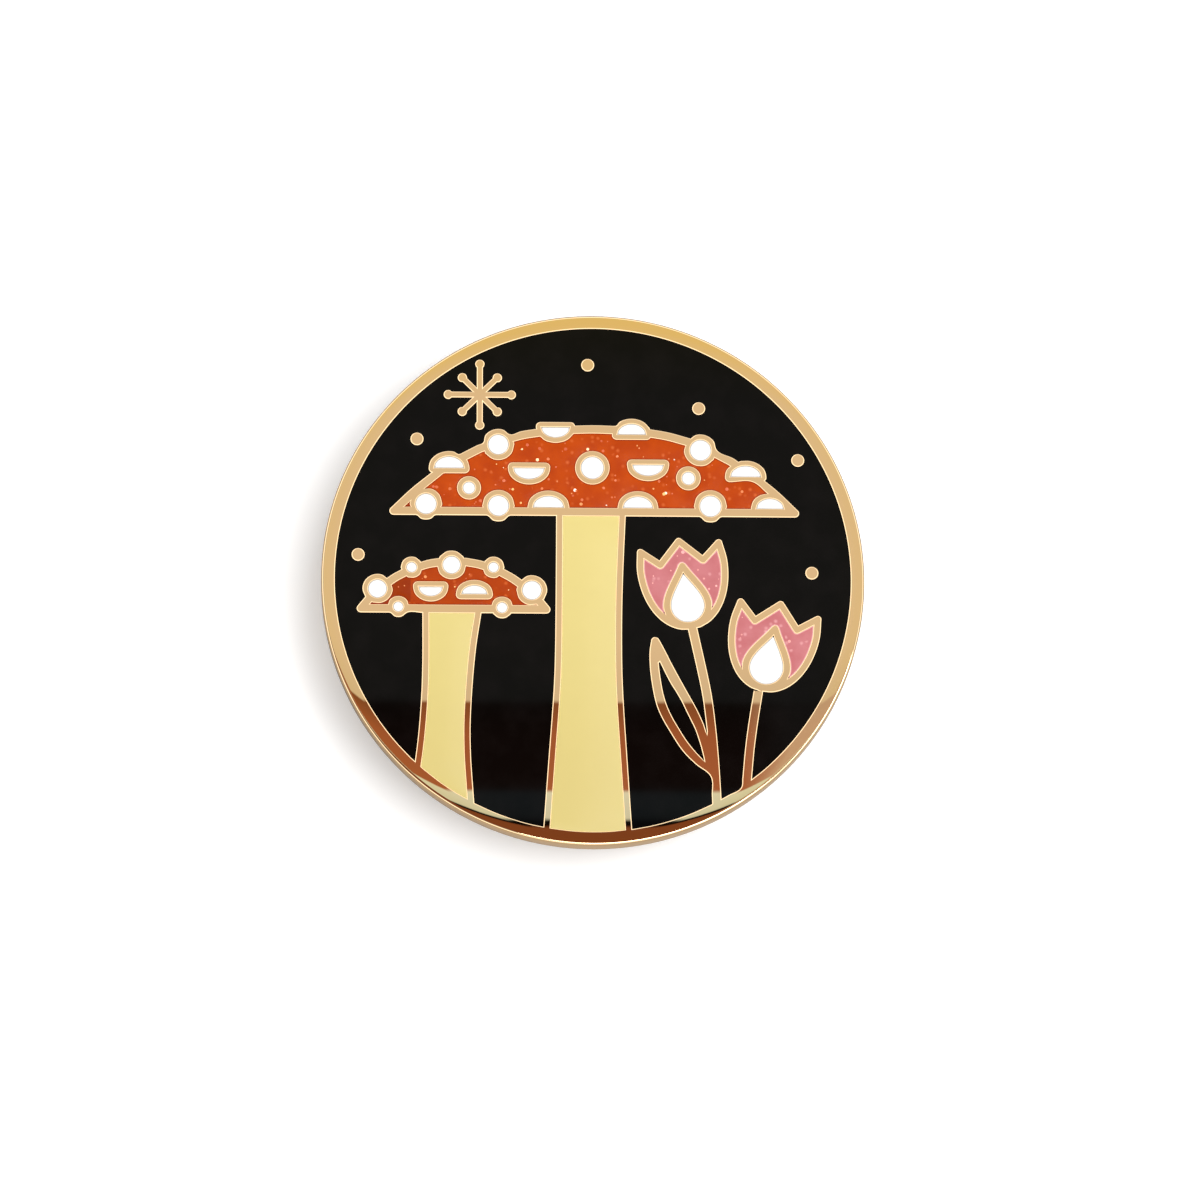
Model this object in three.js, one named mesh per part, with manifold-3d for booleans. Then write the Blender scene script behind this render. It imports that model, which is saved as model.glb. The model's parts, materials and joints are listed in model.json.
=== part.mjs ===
// A round hard enamel pin, 32 mm across: two toadstools and two tulips under a night sky.
// It lies face up on its two butterfly clutches. Millimetres, +Z out of the face, +Y to the top of the picture.
// The origin is on the surface that the clutch wings stand on, under the middle of the face.
import * as THREE from "three";
import { mergeVertices } from "three/addons/utils/BufferGeometryUtils.js";
import Module from "manifold-3d";

const wasm = await Module();
wasm.setup();

// ---------------------------------------------------------------- sizes
const PIN_RADIUS = 16;
const RIM_WIDTH = 0.8;
const PLATE_THICKNESS = 1.5;
const FRONT_EDGE_ROUND = 0.15;
const BACK_EDGE_ROUND = 0.3;
const CELL_DEPTH = 0.5;
const ENAMEL_SHRINK = 0.02; // the air that stays between cured enamel and the wall of its cell
const SEAT_GAP = 0.02; // between soldered pieces
const SMALLEST_CELL = 0.001; // mm3: the die leaves anything smaller as metal
const LINE_WIDTH = 0.48; // raised metal lines round the caps
const PETAL_LINE_WIDTH = 0.4;
const SPOT_LINE_WIDTH = 0.28; // the metal ring round each white spot
const STALK_LINE_WIDTH = 0.38; // the metal lines beside the toadstool stalks
const STAR_DOT_RADIUS = 0.38;

const POST_SPACING = 16;
const POST_RADIUS = 0.5;
const POST_TIP_GAP = 0.35; // from a post's point to the surface that the wings stand on
const POST_HEAD_RADIUS = 1.6;
const POST_HEAD_THICKNESS = 0.2;
const POST_POINT_LENGTH = 0.9;
const GROOVE_DEPTH = 0.12;
const GROOVE_WIDTH = 0.4;
const GROOVE_FROM_TIP = 1.5;
const SOLDER_WIDTH = 0.4;

const CLUTCH_HEIGHT = 6;
const CLUTCH_RADIUS = 5.3;
const CLUTCH_SEAT_GAP = 0.35; // from the plate's back to the clutch when it is pushed home
const CAP_SHEET = 0.3;
const CAP_DEPTH = 1.45;
const CAP_LIP_WIDTH = 1;
const CAP_HOLE_CLEARANCE = 0.22; // round the post
const SPRING_SHEET = 0.3;
const SPRING_CLEARANCE = 0.05; // between the spring plate and the cap's lip
const JAW_CLEARANCE = 0.05; // between each jaw and the plain part of the post
const WING_SHEET = 0.35;
const WING_WIDTH = 7.2;
const WING_REACH = 5.5; // from the post's axis to the outside of a wing's tip
const WING_NECK_WIDTH = 3.4;

const RIM_SIDES = 80;
const ARC_STEP = 0.45; // the longest facet on a small round outline
const JOIN_STEP = Math.PI / 4; // the widest facet turn on a rounded corner

// heights above the surface that the wings stand on
const BACK_Z = CLUTCH_HEIGHT + CLUTCH_SEAT_GAP;
const FACE_Z = BACK_Z + PLATE_THICKNESS;
const CELL_FLOOR_Z = FACE_Z - CELL_DEPTH;
const CUT_ABOVE = 0.5; // how far a cutting tool stands clear of the face
const INNER_RADIUS = PIN_RADIUS - RIM_WIDTH;
const POST_LENGTH = BACK_Z - SEAT_GAP - POST_TIP_GAP;

// ---------------------------------------------------------------- colours
const metal = (color, roughness) => new THREE.MeshStandardMaterial({ color, roughness, metalness: 1 });
const enamel = (color) => new THREE.MeshStandardMaterial({ color, roughness: 0.12, metalness: 0 });
const GOLD = metal(0xd9ac5c, 0.18);
const BRASS = metal(0xc9a24e, 0.28);
const STEEL = metal(0xb9b6ae, 0.3);
const SOLDER = metal(0xa9a8a2, 0.45);
const BLACK = enamel(0x0b0a09);
const WHITE = enamel(0xfbfaf6);
const RED = enamel(0xb8431b);
const PINK = enamel(0xe08f93);
const YELLOW = enamel(0xefdf93);

// ---------------------------------------------------------------- flat outlines
// An outline is a closed, anticlockwise list of THREE.Vector2.
const point = (x, y) => new THREE.Vector2(x, y);
const roundSteps = (radius) => Math.max(10, Math.ceil((2 * Math.PI * radius) / ARC_STEP));

function circle(x, y, radius, sides = roundSteps(radius)) {
  return Array.from({ length: sides }, (_, i) => {
    const a = (2 * Math.PI * i) / sides;
    return point(x + radius * Math.cos(a), y + radius * Math.sin(a));
  });
}

// Half an ellipse on a straight side: up is 1 for a dome and -1 for a bowl.
function halfRound(x, y, halfWidth, height, up) {
  const steps = Math.ceil(roundSteps(halfWidth) / 2);
  const half = Array.from({ length: steps + 1 }, (_, i) => {
    const a = (Math.PI * i) / steps;
    return point(x + halfWidth * Math.cos(a), y + up * height * Math.sin(a));
  });
  return up > 0 ? half : half.reverse();
}

// The outline moved out by distance (in, if it is negative): outer corners are rounded, inner ones mitred.
function offset(outline, distance) {
  const moved = [];
  outline.forEach((p, i) => {
    const before = outline[(i + outline.length - 1) % outline.length];
    const after = outline[(i + 1) % outline.length];
    const a = Math.atan2(p.y - before.y, p.x - before.x) - Math.PI / 2;
    const b = Math.atan2(after.y - p.y, after.x - p.x) - Math.PI / 2;
    const turn = Math.atan2(Math.sin(b - a), Math.cos(b - a));
    if (turn * distance > 0 && Math.abs(turn) > JOIN_STEP) {
      const steps = Math.ceil(Math.abs(turn) / JOIN_STEP);
      for (let s = 0; s <= steps; s++) {
        const t = a + (turn * s) / steps;
        moved.push(point(p.x + distance * Math.cos(t), p.y + distance * Math.sin(t)));
      }
    } else {
      const reach = distance / Math.cos(turn / 2);
      moved.push(point(p.x + reach * Math.cos(a + turn / 2), p.y + reach * Math.sin(a + turn / 2)));
    }
  });
  return moved;
}

// A band of the given width along an open line.
function ribbon(line, width) {
  const side = (sign) =>
    line.map((p, i) => {
      const along = line[Math.min(i + 1, line.length - 1)].clone().sub(line[Math.max(i - 1, 0)]);
      const across = point(along.y, -along.x).setLength((sign * width) / 2);
      return p.clone().add(across);
    });
  return [...side(1), ...side(-1).reverse()];
}

const bezier = (a, b, c, d, steps) => new THREE.CubicBezierCurve(a, b, c, d).getPoints(steps);
const spline = (points, steps) => new THREE.SplineCurve(points).getPoints(steps);
const place = (outline, x, y, turn) =>
  outline.map((p) => p.clone().rotateAround(point(0, 0), turn).add(point(x, y)));

// ---------------------------------------------------------------- solids
function toSolid(geometry) {
  const bare = geometry.clone();
  bare.deleteAttribute("normal");
  bare.deleteAttribute("uv");
  const merged = mergeVertices(bare, 1e-4);
  const mesh = new wasm.Mesh({
    numProp: 3,
    vertProperties: new Float32Array(merged.attributes.position.array),
    triVerts: new Uint32Array(merged.index.array),
  });
  return new wasm.Manifold(mesh);
}

function toGeometry(solid) {
  const mesh = solid.getMesh();
  const geometry = new THREE.BufferGeometry();
  geometry.setAttribute("position", new THREE.BufferAttribute(new Float32Array(mesh.vertProperties), 3));
  geometry.setIndex(new THREE.BufferAttribute(new Uint32Array(mesh.triVerts), 1));
  geometry.computeVertexNormals();
  return geometry;
}

function slab(outline, low, high) {
  const flat = new THREE.ExtrudeGeometry(new THREE.Shape(outline), { depth: high - low, bevelEnabled: false });
  return toSolid(flat.translate(0, 0, low));
}

const joined = (solids) => solids.reduce((all, next) => all.add(next));

// A turned piece: profile holds [radius, height] pairs, anticlockwise, and the axis is Z.
function turned(profile, sides) {
  const lathe = new THREE.LatheGeometry(profile.map(([r, z]) => point(r, z)), sides);
  return toSolid(lathe.rotateX(Math.PI / 2));
}

// ---------------------------------------------------------------- the picture
// The picture is drawn to fill a disc of this radius, and grows with the disc; its metal lines keep their widths.
const DRAWN_RADIUS = 15.2;
const drawn = (outline) => outline.map((p) => p.clone().multiplyScalar(INNER_RADIUS / DRAWN_RADIUS));

// Round spots are [x, y, radius]; half spots are [x, y of the straight side, half width, height, up].
const LARGE_CAP = {
  middle: 0.08,
  base: 4.03,
  top: 9.06,
  halfWidth: 11.84,
  shoulder: [7.85, 8.15],
  crown: 4.7,
  roundSpots: [
    [-5.6, 8.1, 0.64],
    [6.35, 7.83, 0.66],
    [-9.85, 4.47, 0.65],
    [-5.58, 4.38, 0.65],
    [6.93, 4.43, 0.67],
    [-7.32, 5.45, 0.4],
    [-0.04, 6.72, 0.71],
    [5.63, 6.12, 0.42],
  ],
  halfSpots: [
    [-8.5, 6.62, 0.92, 0.76, 1],
    [2.28, 8.73, 0.88, 0.7, 1],
    [9.02, 6.2, 0.94, 0.73, 1],
    [-2.63, 4.27, 0.95, 0.75, 1],
    [2.65, 4.27, 0.92, 0.75, 1],
    [10.45, 4.27, 0.85, 0.68, 1],
    [-2.22, 9.2, 0.88, 0.68, -1],
    [-3.78, 6.72, 0.96, 0.74, -1],
    [3.25, 6.95, 0.96, 0.72, -1],
  ],
};

const SMALL_CAP = {
  middle: -8.2,
  base: -1.88,
  top: 1,
  halfWidth: 5.45,
  shoulder: [4.2, -0.2],
  crown: 2.3,
  roundSpots: [
    [-12.68, -0.68, 0.58],
    [-10.68, 0.62, 0.34],
    [-8.33, 0.78, 0.56],
    [-5.86, 0.65, 0.34],
    [-3.6, -0.72, 0.6],
    [-11.45, -1.76, 0.33],
    [-5.35, -1.78, 0.35],
  ],
  halfSpots: [
    [-9.55, -0.52, 0.75, 0.62, -1],
    [-6.98, -1, 0.8, 0.58, 1],
  ],
};

// The middle line of the metal round a cap: a flat base under an arched top.
function capOutline({ middle, base, top, halfWidth, shoulder, crown }) {
  const half = bezier(point(halfWidth, base), point(...shoulder), point(crown, top), point(0, top), 9);
  const mirrored = half.slice(0, -1).reverse().map((p) => point(-p.x, p.y));
  return drawn([...half, ...mirrored].map((p) => point(p.x + middle, p.y)));
}

// Both edges of each stalk, from the cap's base line down past the rim.
const STALKS_END = -PIN_RADIUS;
const LARGE_STALK = {
  left: [[-1.98, LARGE_CAP.base], [-2, -1], [-2.08, -6], [-2.42, -11], [-2.78, STALKS_END]],
  right: [[1.74, LARGE_CAP.base], [1.54, -1], [1.54, -6], [1.83, -11], [2.16, STALKS_END]],
};
const SMALL_STALK = {
  left: [[-9.84, SMALL_CAP.base], [-9.84, -6], [-10.05, -9.5], [-10.5, -13]],
  right: [[-6.72, SMALL_CAP.base], [-7.15, -5], [-7.38, -9.5], [-7.12, -13.8]],
};

function stalkOutline({ left, right }) {
  const edge = (points) => spline(points.map(([x, y]) => point(x, y)), 8);
  return drawn([...edge(left), ...edge(right).reverse()]);
}

// A tulip stands on its own origin and leans by turning about it.
const TULIP_TIP = [2.33, 5];
const TULIP_NOTCH = [1.27, 4.08];
const TULIP_PEAK = 5.38;
const TULIP_BELLY = [2.48, 3.85];
const TULIP_FOOT = 0.2;
const HEART_RADIUS = 1.22;
const HEART_HEIGHT = 1.46;
const HEART_PEAK = 3.87;
const TULIPS = [
  { x: 5.77, y: -3.03, lean: 7.7 },
  { x: 9.86, y: -6.72, lean: -12.8 },
];
const STEM_WIDTH = 0.54;
const STEMS = [
  [[5.85, -2.95], [6.3, -5], [6.7, -7], [6.95, -9], [7.12, -11], [7.24, -13], [7.3, -14.2]],
  [[9.72, -6.7], [9.47, -8.2], [9.22, -10], [9.03, -12], [8.9, -13.4]],
];
// The leaf's metal and the black cell inside it, each as its left edge going up and its right edge coming down.
const LEAF = [
  [[6.9, -11.85], [5.8, -10.9], [5, -9.95], [3.85, -7.9], [3.45, -6.2], [3.33, -4.8], [3.4, -3.75], [3.6, -3.5]],
  [[3.8, -3.55], [4.05, -3.95], [4.6, -5.05], [5.1, -6], [6.2, -8.05], [6.65, -9.2], [7, -10.6]],
];
const LEAF_CELL = [
  [[6.55, -10.95], [5.7, -10], [5.05, -9], [4.5, -8], [4.15, -7], [3.95, -5.9], [3.85, -5.05]],
  [[3.93, -4.98], [4.5, -6.15], [5.1, -7.15], [5.58, -8.15], [6.03, -9.1], [6.33, -10.05]],
];

function tulipOutline() {
  const foot = point(0, TULIP_FOOT);
  const side = [
    ...bezier(foot, point(1.55, TULIP_FOOT), point(2.5, 1.95), point(...TULIP_BELLY), 8),
    point(...TULIP_TIP),
    point(...TULIP_NOTCH),
  ];
  const mirrored = side.slice(1).reverse().map((p) => point(-p.x, p.y));
  return [...side, point(0, TULIP_PEAK), ...mirrored];
}

function heartOutline() {
  const side = bezier(
    point(HEART_RADIUS, HEART_HEIGHT),
    point(HEART_RADIUS, HEART_HEIGHT + 0.75),
    point(0.5, HEART_PEAK - 0.9),
    point(0, HEART_PEAK),
    6,
  );
  const mirrored = side.slice(0, -1).reverse().map((p) => point(-p.x, p.y));
  const steps = Math.ceil(roundSteps(HEART_RADIUS) / 2);
  const bowl = Array.from({ length: steps - 1 }, (_, i) => {
    const a = Math.PI + (Math.PI * (i + 1)) / steps;
    return point(HEART_RADIUS * Math.cos(a), HEART_HEIGHT + HEART_RADIUS * Math.sin(a));
  });
  return [...side, ...mirrored, ...bowl];
}

const leafOutline = (sides) =>
  drawn(sides.flatMap((side) => spline(side.map(([x, y]) => point(x, y)), 9)).reverse());

// The starburst: four crossed bars with a bead on each end; the upright bars are the longer ones.
const STARBURST = { x: -6.7, y: 11.12, longRay: 1.86, shortRay: 1.46, rayWidth: 0.34, bead: 0.27 };
const STAR_DOTS = [
  [-0.32, 12.97],
  [6.25, 10.37],
  [12.1, 7.25],
  [12.9, 0.42],
  [-10.4, 8.4],
  [-13.83, 1.37],
];

function starburstOutlines() {
  const { x, y, longRay, shortRay, rayWidth, bead } = STARBURST;
  return Array.from({ length: 8 }, (_, i) => {
    const a = (Math.PI / 4) * i;
    const reach = i % 2 ? shortRay : longRay;
    const end = point(x + reach * Math.cos(a), y + reach * Math.sin(a));
    const line = drawn([point(x, y), end]);
    return [ribbon(line, rayWidth), circle(line[1].x, line[1].y, bead)];
  }).flat();
}

function dotOutlines(radius) {
  const centres = drawn(STAR_DOTS.map(([x, y]) => point(x, y)));
  return centres.map((p) => circle(p.x, p.y, radius));
}

// ---------------------------------------------------------------- cells
// Each cell function takes the air left round the enamel: 0 gives the cell in the die, ENAMEL_SHRINK its enamel.
const spotOutlines = ({ roundSpots, halfSpots }) => [
  ...roundSpots.map(([x, y, radius]) => drawn(circle(x, y, radius))),
  ...halfSpots.map((spot) => drawn(halfRound(...spot))),
];

const tool = (outline) => slab(outline, CELL_FLOOR_Z, FACE_Z + CUT_ABOVE);
const tools = (outlines) => joined(outlines.map(tool));
const discTool = (radius) => tool(circle(0, 0, radius, RIM_SIDES));

const spotMetal = (cap, air) =>
  tools(spotOutlines(cap).map((outline) => offset(outline, SPOT_LINE_WIDTH + air)));
const capMetal = (cap, air) =>
  tool(offset(capOutline(cap), LINE_WIDTH / 2 + air)).add(spotMetal(cap, air));
const stalkMetal = (stalk, air) => tool(offset(stalkOutline(stalk), STALK_LINE_WIDTH / 2 + air));
const tulipAt = (outline, { x, y, lean }) => drawn(place(outline, x, y, THREE.MathUtils.degToRad(lean)));
const tulipTool = (outline, tulip, distance) => tool(offset(tulipAt(outline, tulip), distance));
const tulipMetal = (tulip, air) => tulipTool(tulipOutline(), tulip, PETAL_LINE_WIDTH / 2 + air);
const stemMetal = (line, air) =>
  tool(ribbon(drawn(line.map(([x, y]) => point(x, y))), STEM_WIDTH + 2 * air));
const leafMetal = (air) => tool(offset(leafOutline(LEAF), air));

const skyCell = (air) =>
  [
    ...[LARGE_CAP, SMALL_CAP].map((cap) => capMetal(cap, air)),
    ...[LARGE_STALK, SMALL_STALK].map((stalk) => stalkMetal(stalk, air)),
    ...TULIPS.map((tulip) => tulipMetal(tulip, air)),
    ...STEMS.map((line) => stemMetal(line, air)),
    leafMetal(air),
    tools(starburstOutlines().map((outline) => offset(outline, air))),
    tools(dotOutlines(STAR_DOT_RADIUS + air)),
  ].reduce((left, taken) => left.subtract(taken), discTool(INNER_RADIUS - air));
const leafCell = (air) =>
  tool(offset(leafOutline(LEAF_CELL), -air)).subtract(stemMetal(STEMS[0], air));
const capCell = (cap, air) =>
  tool(offset(capOutline(cap), -LINE_WIDTH / 2 - air)).subtract(spotMetal(cap, air));
const stalkCell = (stalk, cap, air) =>
  tool(offset(stalkOutline(stalk), -STALK_LINE_WIDTH / 2 - air))
    .subtract(capMetal(cap, air))
    .intersect(discTool(INNER_RADIUS - air));
const petalCell = (tulip, air) =>
  tulipTool(tulipOutline(), tulip, -PETAL_LINE_WIDTH / 2 - air).subtract(
    tulipTool(heartOutline(), tulip, PETAL_LINE_WIDTH / 2 + air),
  );
const heartCell = (tulip, air) => tulipTool(heartOutline(), tulip, -PETAL_LINE_WIDTH / 2 - air);

const CELLS = [
  { name: "black_sky", material: BLACK, cut: skyCell },
  { name: "black_leaf", material: BLACK, cut: leafCell },
  { name: "red_large_cap", material: RED, cut: (air) => capCell(LARGE_CAP, air) },
  { name: "red_small_cap", material: RED, cut: (air) => capCell(SMALL_CAP, air) },
  { name: "yellow_large_stalk", material: YELLOW, cut: (air) => stalkCell(LARGE_STALK, LARGE_CAP, air) },
  { name: "yellow_small_stalk", material: YELLOW, cut: (air) => stalkCell(SMALL_STALK, SMALL_CAP, air) },
  ...TULIPS.map((tulip, i) => ({
    name: `pink_tulip_${i + 1}`,
    material: PINK,
    cut: (air) => petalCell(tulip, air),
  })),
  ...TULIPS.map((tulip, i) => ({
    name: `white_tulip_heart_${i + 1}`,
    material: WHITE,
    cut: (air) => heartCell(tulip, air),
  })),
  ...[["large", LARGE_CAP], ["small", SMALL_CAP]].flatMap(([size, cap]) =>
    spotOutlines(cap).map((outline, i) => ({
      name: `white_${size}_cap_spot_${i + 1}`,
      material: WHITE,
      cut: (air) => tool(offset(outline, -air)),
    })),
  ),
];

// A cell that its lines divide holds several pools of enamel, the largest first.
function pools(cell) {
  return cell
    .decompose()
    .filter((piece) => piece.volume() > SMALLEST_CELL)
    .sort((a, b) => b.volume() - a.volume());
}

// ---------------------------------------------------------------- the struck plate and its enamel
function plateSolid() {
  const arc = (x, z, radius, from) =>
    [0, 1].map((t) => {
      const a = from + (t * Math.PI) / 2;
      return [x + radius * Math.cos(a), z + radius * Math.sin(a)];
    });
  const blank = turned(
    [
      [0, BACK_Z],
      ...arc(PIN_RADIUS - BACK_EDGE_ROUND, BACK_Z + BACK_EDGE_ROUND, BACK_EDGE_ROUND, -Math.PI / 2),
      ...arc(PIN_RADIUS - FRONT_EDGE_ROUND, FACE_Z - FRONT_EDGE_ROUND, FRONT_EDGE_ROUND, 0),
      [0, FACE_Z],
    ],
    RIM_SIDES,
  );
  const cut = CELLS.flatMap((cell) => pools(cell.cut(0)));
  return cut.reduce((plate, cell) => plate.subtract(cell), blank);
}

function enamelSolids(cell) {
  const filled = slab(circle(0, 0, PIN_RADIUS, RIM_SIDES), CELL_FLOOR_Z + ENAMEL_SHRINK, FACE_Z);
  return pools(cell.cut(ENAMEL_SHRINK)).map((pool) => pool.intersect(filled));
}

// ---------------------------------------------------------------- posts
const POST_SIDES = 12;

// A headed nail, head up against the plate's back, point down, with a groove for the clutch to grip.
function postSolid() {
  const groove = POST_LENGTH - GROOVE_FROM_TIP;
  const depth = (r, d) => [r, -d];
  return turned(
    [
      depth(0, POST_LENGTH),
      depth(POST_RADIUS * 0.2, POST_LENGTH - 0.02),
      depth(POST_RADIUS, POST_LENGTH - POST_POINT_LENGTH),
      depth(POST_RADIUS, groove + GROOVE_WIDTH / 2),
      depth(POST_RADIUS - GROOVE_DEPTH, groove + GROOVE_WIDTH / 4),
      depth(POST_RADIUS - GROOVE_DEPTH, groove - GROOVE_WIDTH / 4),
      depth(POST_RADIUS, groove - GROOVE_WIDTH / 2),
      depth(POST_RADIUS, POST_HEAD_THICKNESS + 0.25),
      depth(POST_RADIUS + 0.25, POST_HEAD_THICKNESS),
      depth(POST_HEAD_RADIUS, POST_HEAD_THICKNESS),
      depth(POST_HEAD_RADIUS, 0),
      depth(0, 0),
    ],
    POST_SIDES,
  );
}

// The fillet of solder round a post's head.
function solderSolid() {
  const inner = POST_HEAD_RADIUS + SEAT_GAP;
  const outer = inner + SOLDER_WIDTH;
  return turned(
    [
      [inner, -POST_HEAD_THICKNESS],
      [outer, -POST_HEAD_THICKNESS * 0.2],
      [outer, 0],
      [inner, 0],
      [inner, -POST_HEAD_THICKNESS],
    ],
    POST_SIDES,
  );
}

// ---------------------------------------------------------------- butterfly clutches
// Each clutch is modelled with its axis on Z and its front, the side that meets the cloth, at Z = 0; it hangs below.
const CLUTCH_SIDES = 32;
const CAP_HOLE_RADIUS = POST_RADIUS + CAP_HOLE_CLEARANCE;
const FUNNEL_DEPTH = 0.35;
const SPRING_LOW = CAP_DEPTH - CAP_SHEET - SPRING_CLEARANCE; // depth of the plate's far face
const SPRING_TOP = SPRING_LOW - SPRING_SHEET;
const SPRING_RADIUS = CLUTCH_RADIUS - CAP_SHEET - 0.25;
const SLOT_HALF_LENGTH = 2.05;
const SLOT_HALF_WIDTH = WING_NECK_WIDTH / 2 + 0.4;
const PIVOT_REACH = 1.95;
const PIVOT_DEPTH = 1.95;
const RIDGE_TOP = PIVOT_DEPTH - WING_SHEET / 2 - 0.12;

// A shallow round cup, pressed from sheet, with a funnel round its hole and its edge curled in all round.
function clutchCapSolid() {
  const r = CLUTCH_RADIUS;
  const s = CAP_SHEET;
  const depth = (radius, d) => [radius, -d];
  const mouth = CAP_HOLE_RADIUS + FUNNEL_DEPTH + 0.15;
  return turned(
    [
      depth(CAP_HOLE_RADIUS, FUNNEL_DEPTH),
      depth(CAP_HOLE_RADIUS + 0.12, FUNNEL_DEPTH + s * 0.8),
      depth(mouth + 0.1, s),
      depth(r - s, s),
      depth(r - s, CAP_DEPTH - s),
      depth(r - CAP_LIP_WIDTH, CAP_DEPTH - s),
      depth(r - CAP_LIP_WIDTH, CAP_DEPTH),
      depth(r - 0.25, CAP_DEPTH),
      depth(r, CAP_DEPTH - 0.25),
      depth(r, 0.25),
      depth(r - 0.25, 0),
      depth(mouth, 0),
      depth(CAP_HOLE_RADIUS, FUNNEL_DEPTH),
    ],
    CLUTCH_SIDES,
  );
}

const box = (x0, x1, y0, y1, z0, z1) =>
  toSolid(new THREE.BoxGeometry(x1 - x0, y1 - y0, z1 - z0).translate((x0 + x1) / 2, (y0 + y1) / 2, (z0 + z1) / 2));

// The round spring plate under the cap's lip: a slot for the jaws, its two ends turned up to carry the wings.
function springPlateSolid() {
  const disc = slab(circle(0, 0, SPRING_RADIUS, CLUTCH_SIDES), -SPRING_LOW, -SPRING_TOP);
  const slot = box(
    -SLOT_HALF_LENGTH, SLOT_HALF_LENGTH, -SLOT_HALF_WIDTH, SLOT_HALF_WIDTH, -CAP_DEPTH, 0,
  );
  const ridge = (side) => {
    const inner = side * SLOT_HALF_LENGTH;
    const outer = side * (SLOT_HALF_LENGTH + SPRING_SHEET);
    return box(
      Math.min(inner, outer), Math.max(inner, outer),
      -WING_NECK_WIDTH / 2, WING_NECK_WIDTH / 2, -RIDGE_TOP, -SPRING_TOP,
    );
  };
  return disc.subtract(slot).add(ridge(1)).add(ridge(-1));
}

// One wing with its jaw, reaching along +X: a bent strip, seen from the side, cut to a fan seen from above.
function wingSolid() {
  const tip = POST_RADIUS + JAW_CLEARANCE;
  const side = spline(
    [
      [tip, 1.27],
      [1.15, 1.32],
      [1.6, 1.6],
      [PIVOT_REACH, PIVOT_DEPTH],
      [2.7, 2.36],
      [3.6, 2.92],
      [4.4, 3.72],
      [WING_REACH - 0.42, 4.75],
      [WING_REACH - WING_SHEET / 2, CLUTCH_HEIGHT],
    ].map(([x, d]) => point(x, d)),
    14,
  );
  const strip = new THREE.ExtrudeGeometry(new THREE.Shape(ribbon(side, WING_SHEET)), {
    depth: WING_WIDTH,
    bevelEnabled: false,
  });
  // the side view is drawn with depth as y, so it is turned to point down, and its width to lie along Y
  strip.translate(0, 0, -WING_WIDTH / 2).rotateX(-Math.PI / 2);
  const neck = WING_NECK_WIDTH / 2;
  const half = WING_WIDTH / 2;
  const jaw = 0.9;
  const edge = bezier(point(PIVOT_REACH + 0.5, neck), point(3, neck), point(3.1, half), point(4.3, half), 5);
  const corner = bezier(point(4.6, half), point(5.2, half), point(WING_REACH, 3), point(WING_REACH + 0.3, 0), 6);
  const upper = [point(0, jaw), point(tip + 0.3, neck), ...edge, ...corner];
  const fan = [...upper, ...upper.slice(0, -1).reverse().map((p) => point(p.x, -p.y))];
  const cut = slab(fan.reverse(), -CLUTCH_HEIGHT, 0);
  return toSolid(strip).intersect(cut);
}

// ---------------------------------------------------------------- the assembly
const pin = new THREE.Group();

function add(name, solid, material, parent = pin) {
  const mesh = new THREE.Mesh(toGeometry(solid), material);
  mesh.name = name;
  parent.add(mesh);
  return mesh;
}

add("struck_plate", plateSolid(), GOLD);
for (const cell of CELLS) {
  enamelSolids(cell).forEach((solid, i) => {
    add(i ? `${cell.name}_pool_${i + 1}` : cell.name, solid, cell.material);
  });
}

for (const [side, x] of [["left", -POST_SPACING / 2], ["right", POST_SPACING / 2]]) {
  const fixed = new THREE.Group();
  fixed.position.set(x, 0, BACK_Z - SEAT_GAP);
  pin.add(fixed);
  add(`${side}_post`, postSolid(), STEEL, fixed);
  add(`${side}_post_solder`, solderSolid(), SOLDER, fixed);

  const clutch = new THREE.Group();
  clutch.position.set(x, 0, CLUTCH_HEIGHT);
  pin.add(clutch);
  add(`${side}_clutch_cap`, clutchCapSolid(), BRASS, clutch);
  add(`${side}_clutch_spring_plate`, springPlateSolid(), BRASS, clutch);
  add(`${side}_clutch_wing_a`, wingSolid(), BRASS, clutch);
  add(`${side}_clutch_wing_b`, wingSolid(), BRASS, clutch).rotation.z = Math.PI;
}

export default pin;
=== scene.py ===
import json
import math

import bmesh
import bpy
from mathutils import Matrix, Vector
from mathutils.geometry import delaunay_2d_cdt

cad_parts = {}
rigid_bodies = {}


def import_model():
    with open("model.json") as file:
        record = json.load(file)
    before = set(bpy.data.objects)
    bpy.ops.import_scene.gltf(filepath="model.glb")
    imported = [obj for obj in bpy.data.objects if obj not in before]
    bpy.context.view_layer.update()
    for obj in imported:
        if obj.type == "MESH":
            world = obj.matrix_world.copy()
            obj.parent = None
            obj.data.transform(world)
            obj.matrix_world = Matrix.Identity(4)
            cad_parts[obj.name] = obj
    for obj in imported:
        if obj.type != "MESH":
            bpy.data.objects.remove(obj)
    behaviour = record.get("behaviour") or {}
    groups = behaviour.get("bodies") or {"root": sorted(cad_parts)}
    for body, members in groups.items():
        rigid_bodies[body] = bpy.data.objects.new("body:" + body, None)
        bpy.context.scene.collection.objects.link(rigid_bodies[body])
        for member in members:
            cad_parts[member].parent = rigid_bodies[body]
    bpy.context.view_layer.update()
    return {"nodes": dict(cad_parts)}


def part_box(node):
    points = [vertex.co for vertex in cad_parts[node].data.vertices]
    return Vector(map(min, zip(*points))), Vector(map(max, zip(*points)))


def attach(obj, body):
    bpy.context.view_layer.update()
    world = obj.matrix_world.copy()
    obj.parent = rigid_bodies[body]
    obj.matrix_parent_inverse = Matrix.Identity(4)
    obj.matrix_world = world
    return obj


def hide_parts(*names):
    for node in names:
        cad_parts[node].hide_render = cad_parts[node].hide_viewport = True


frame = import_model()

MM = 0.001


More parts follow.
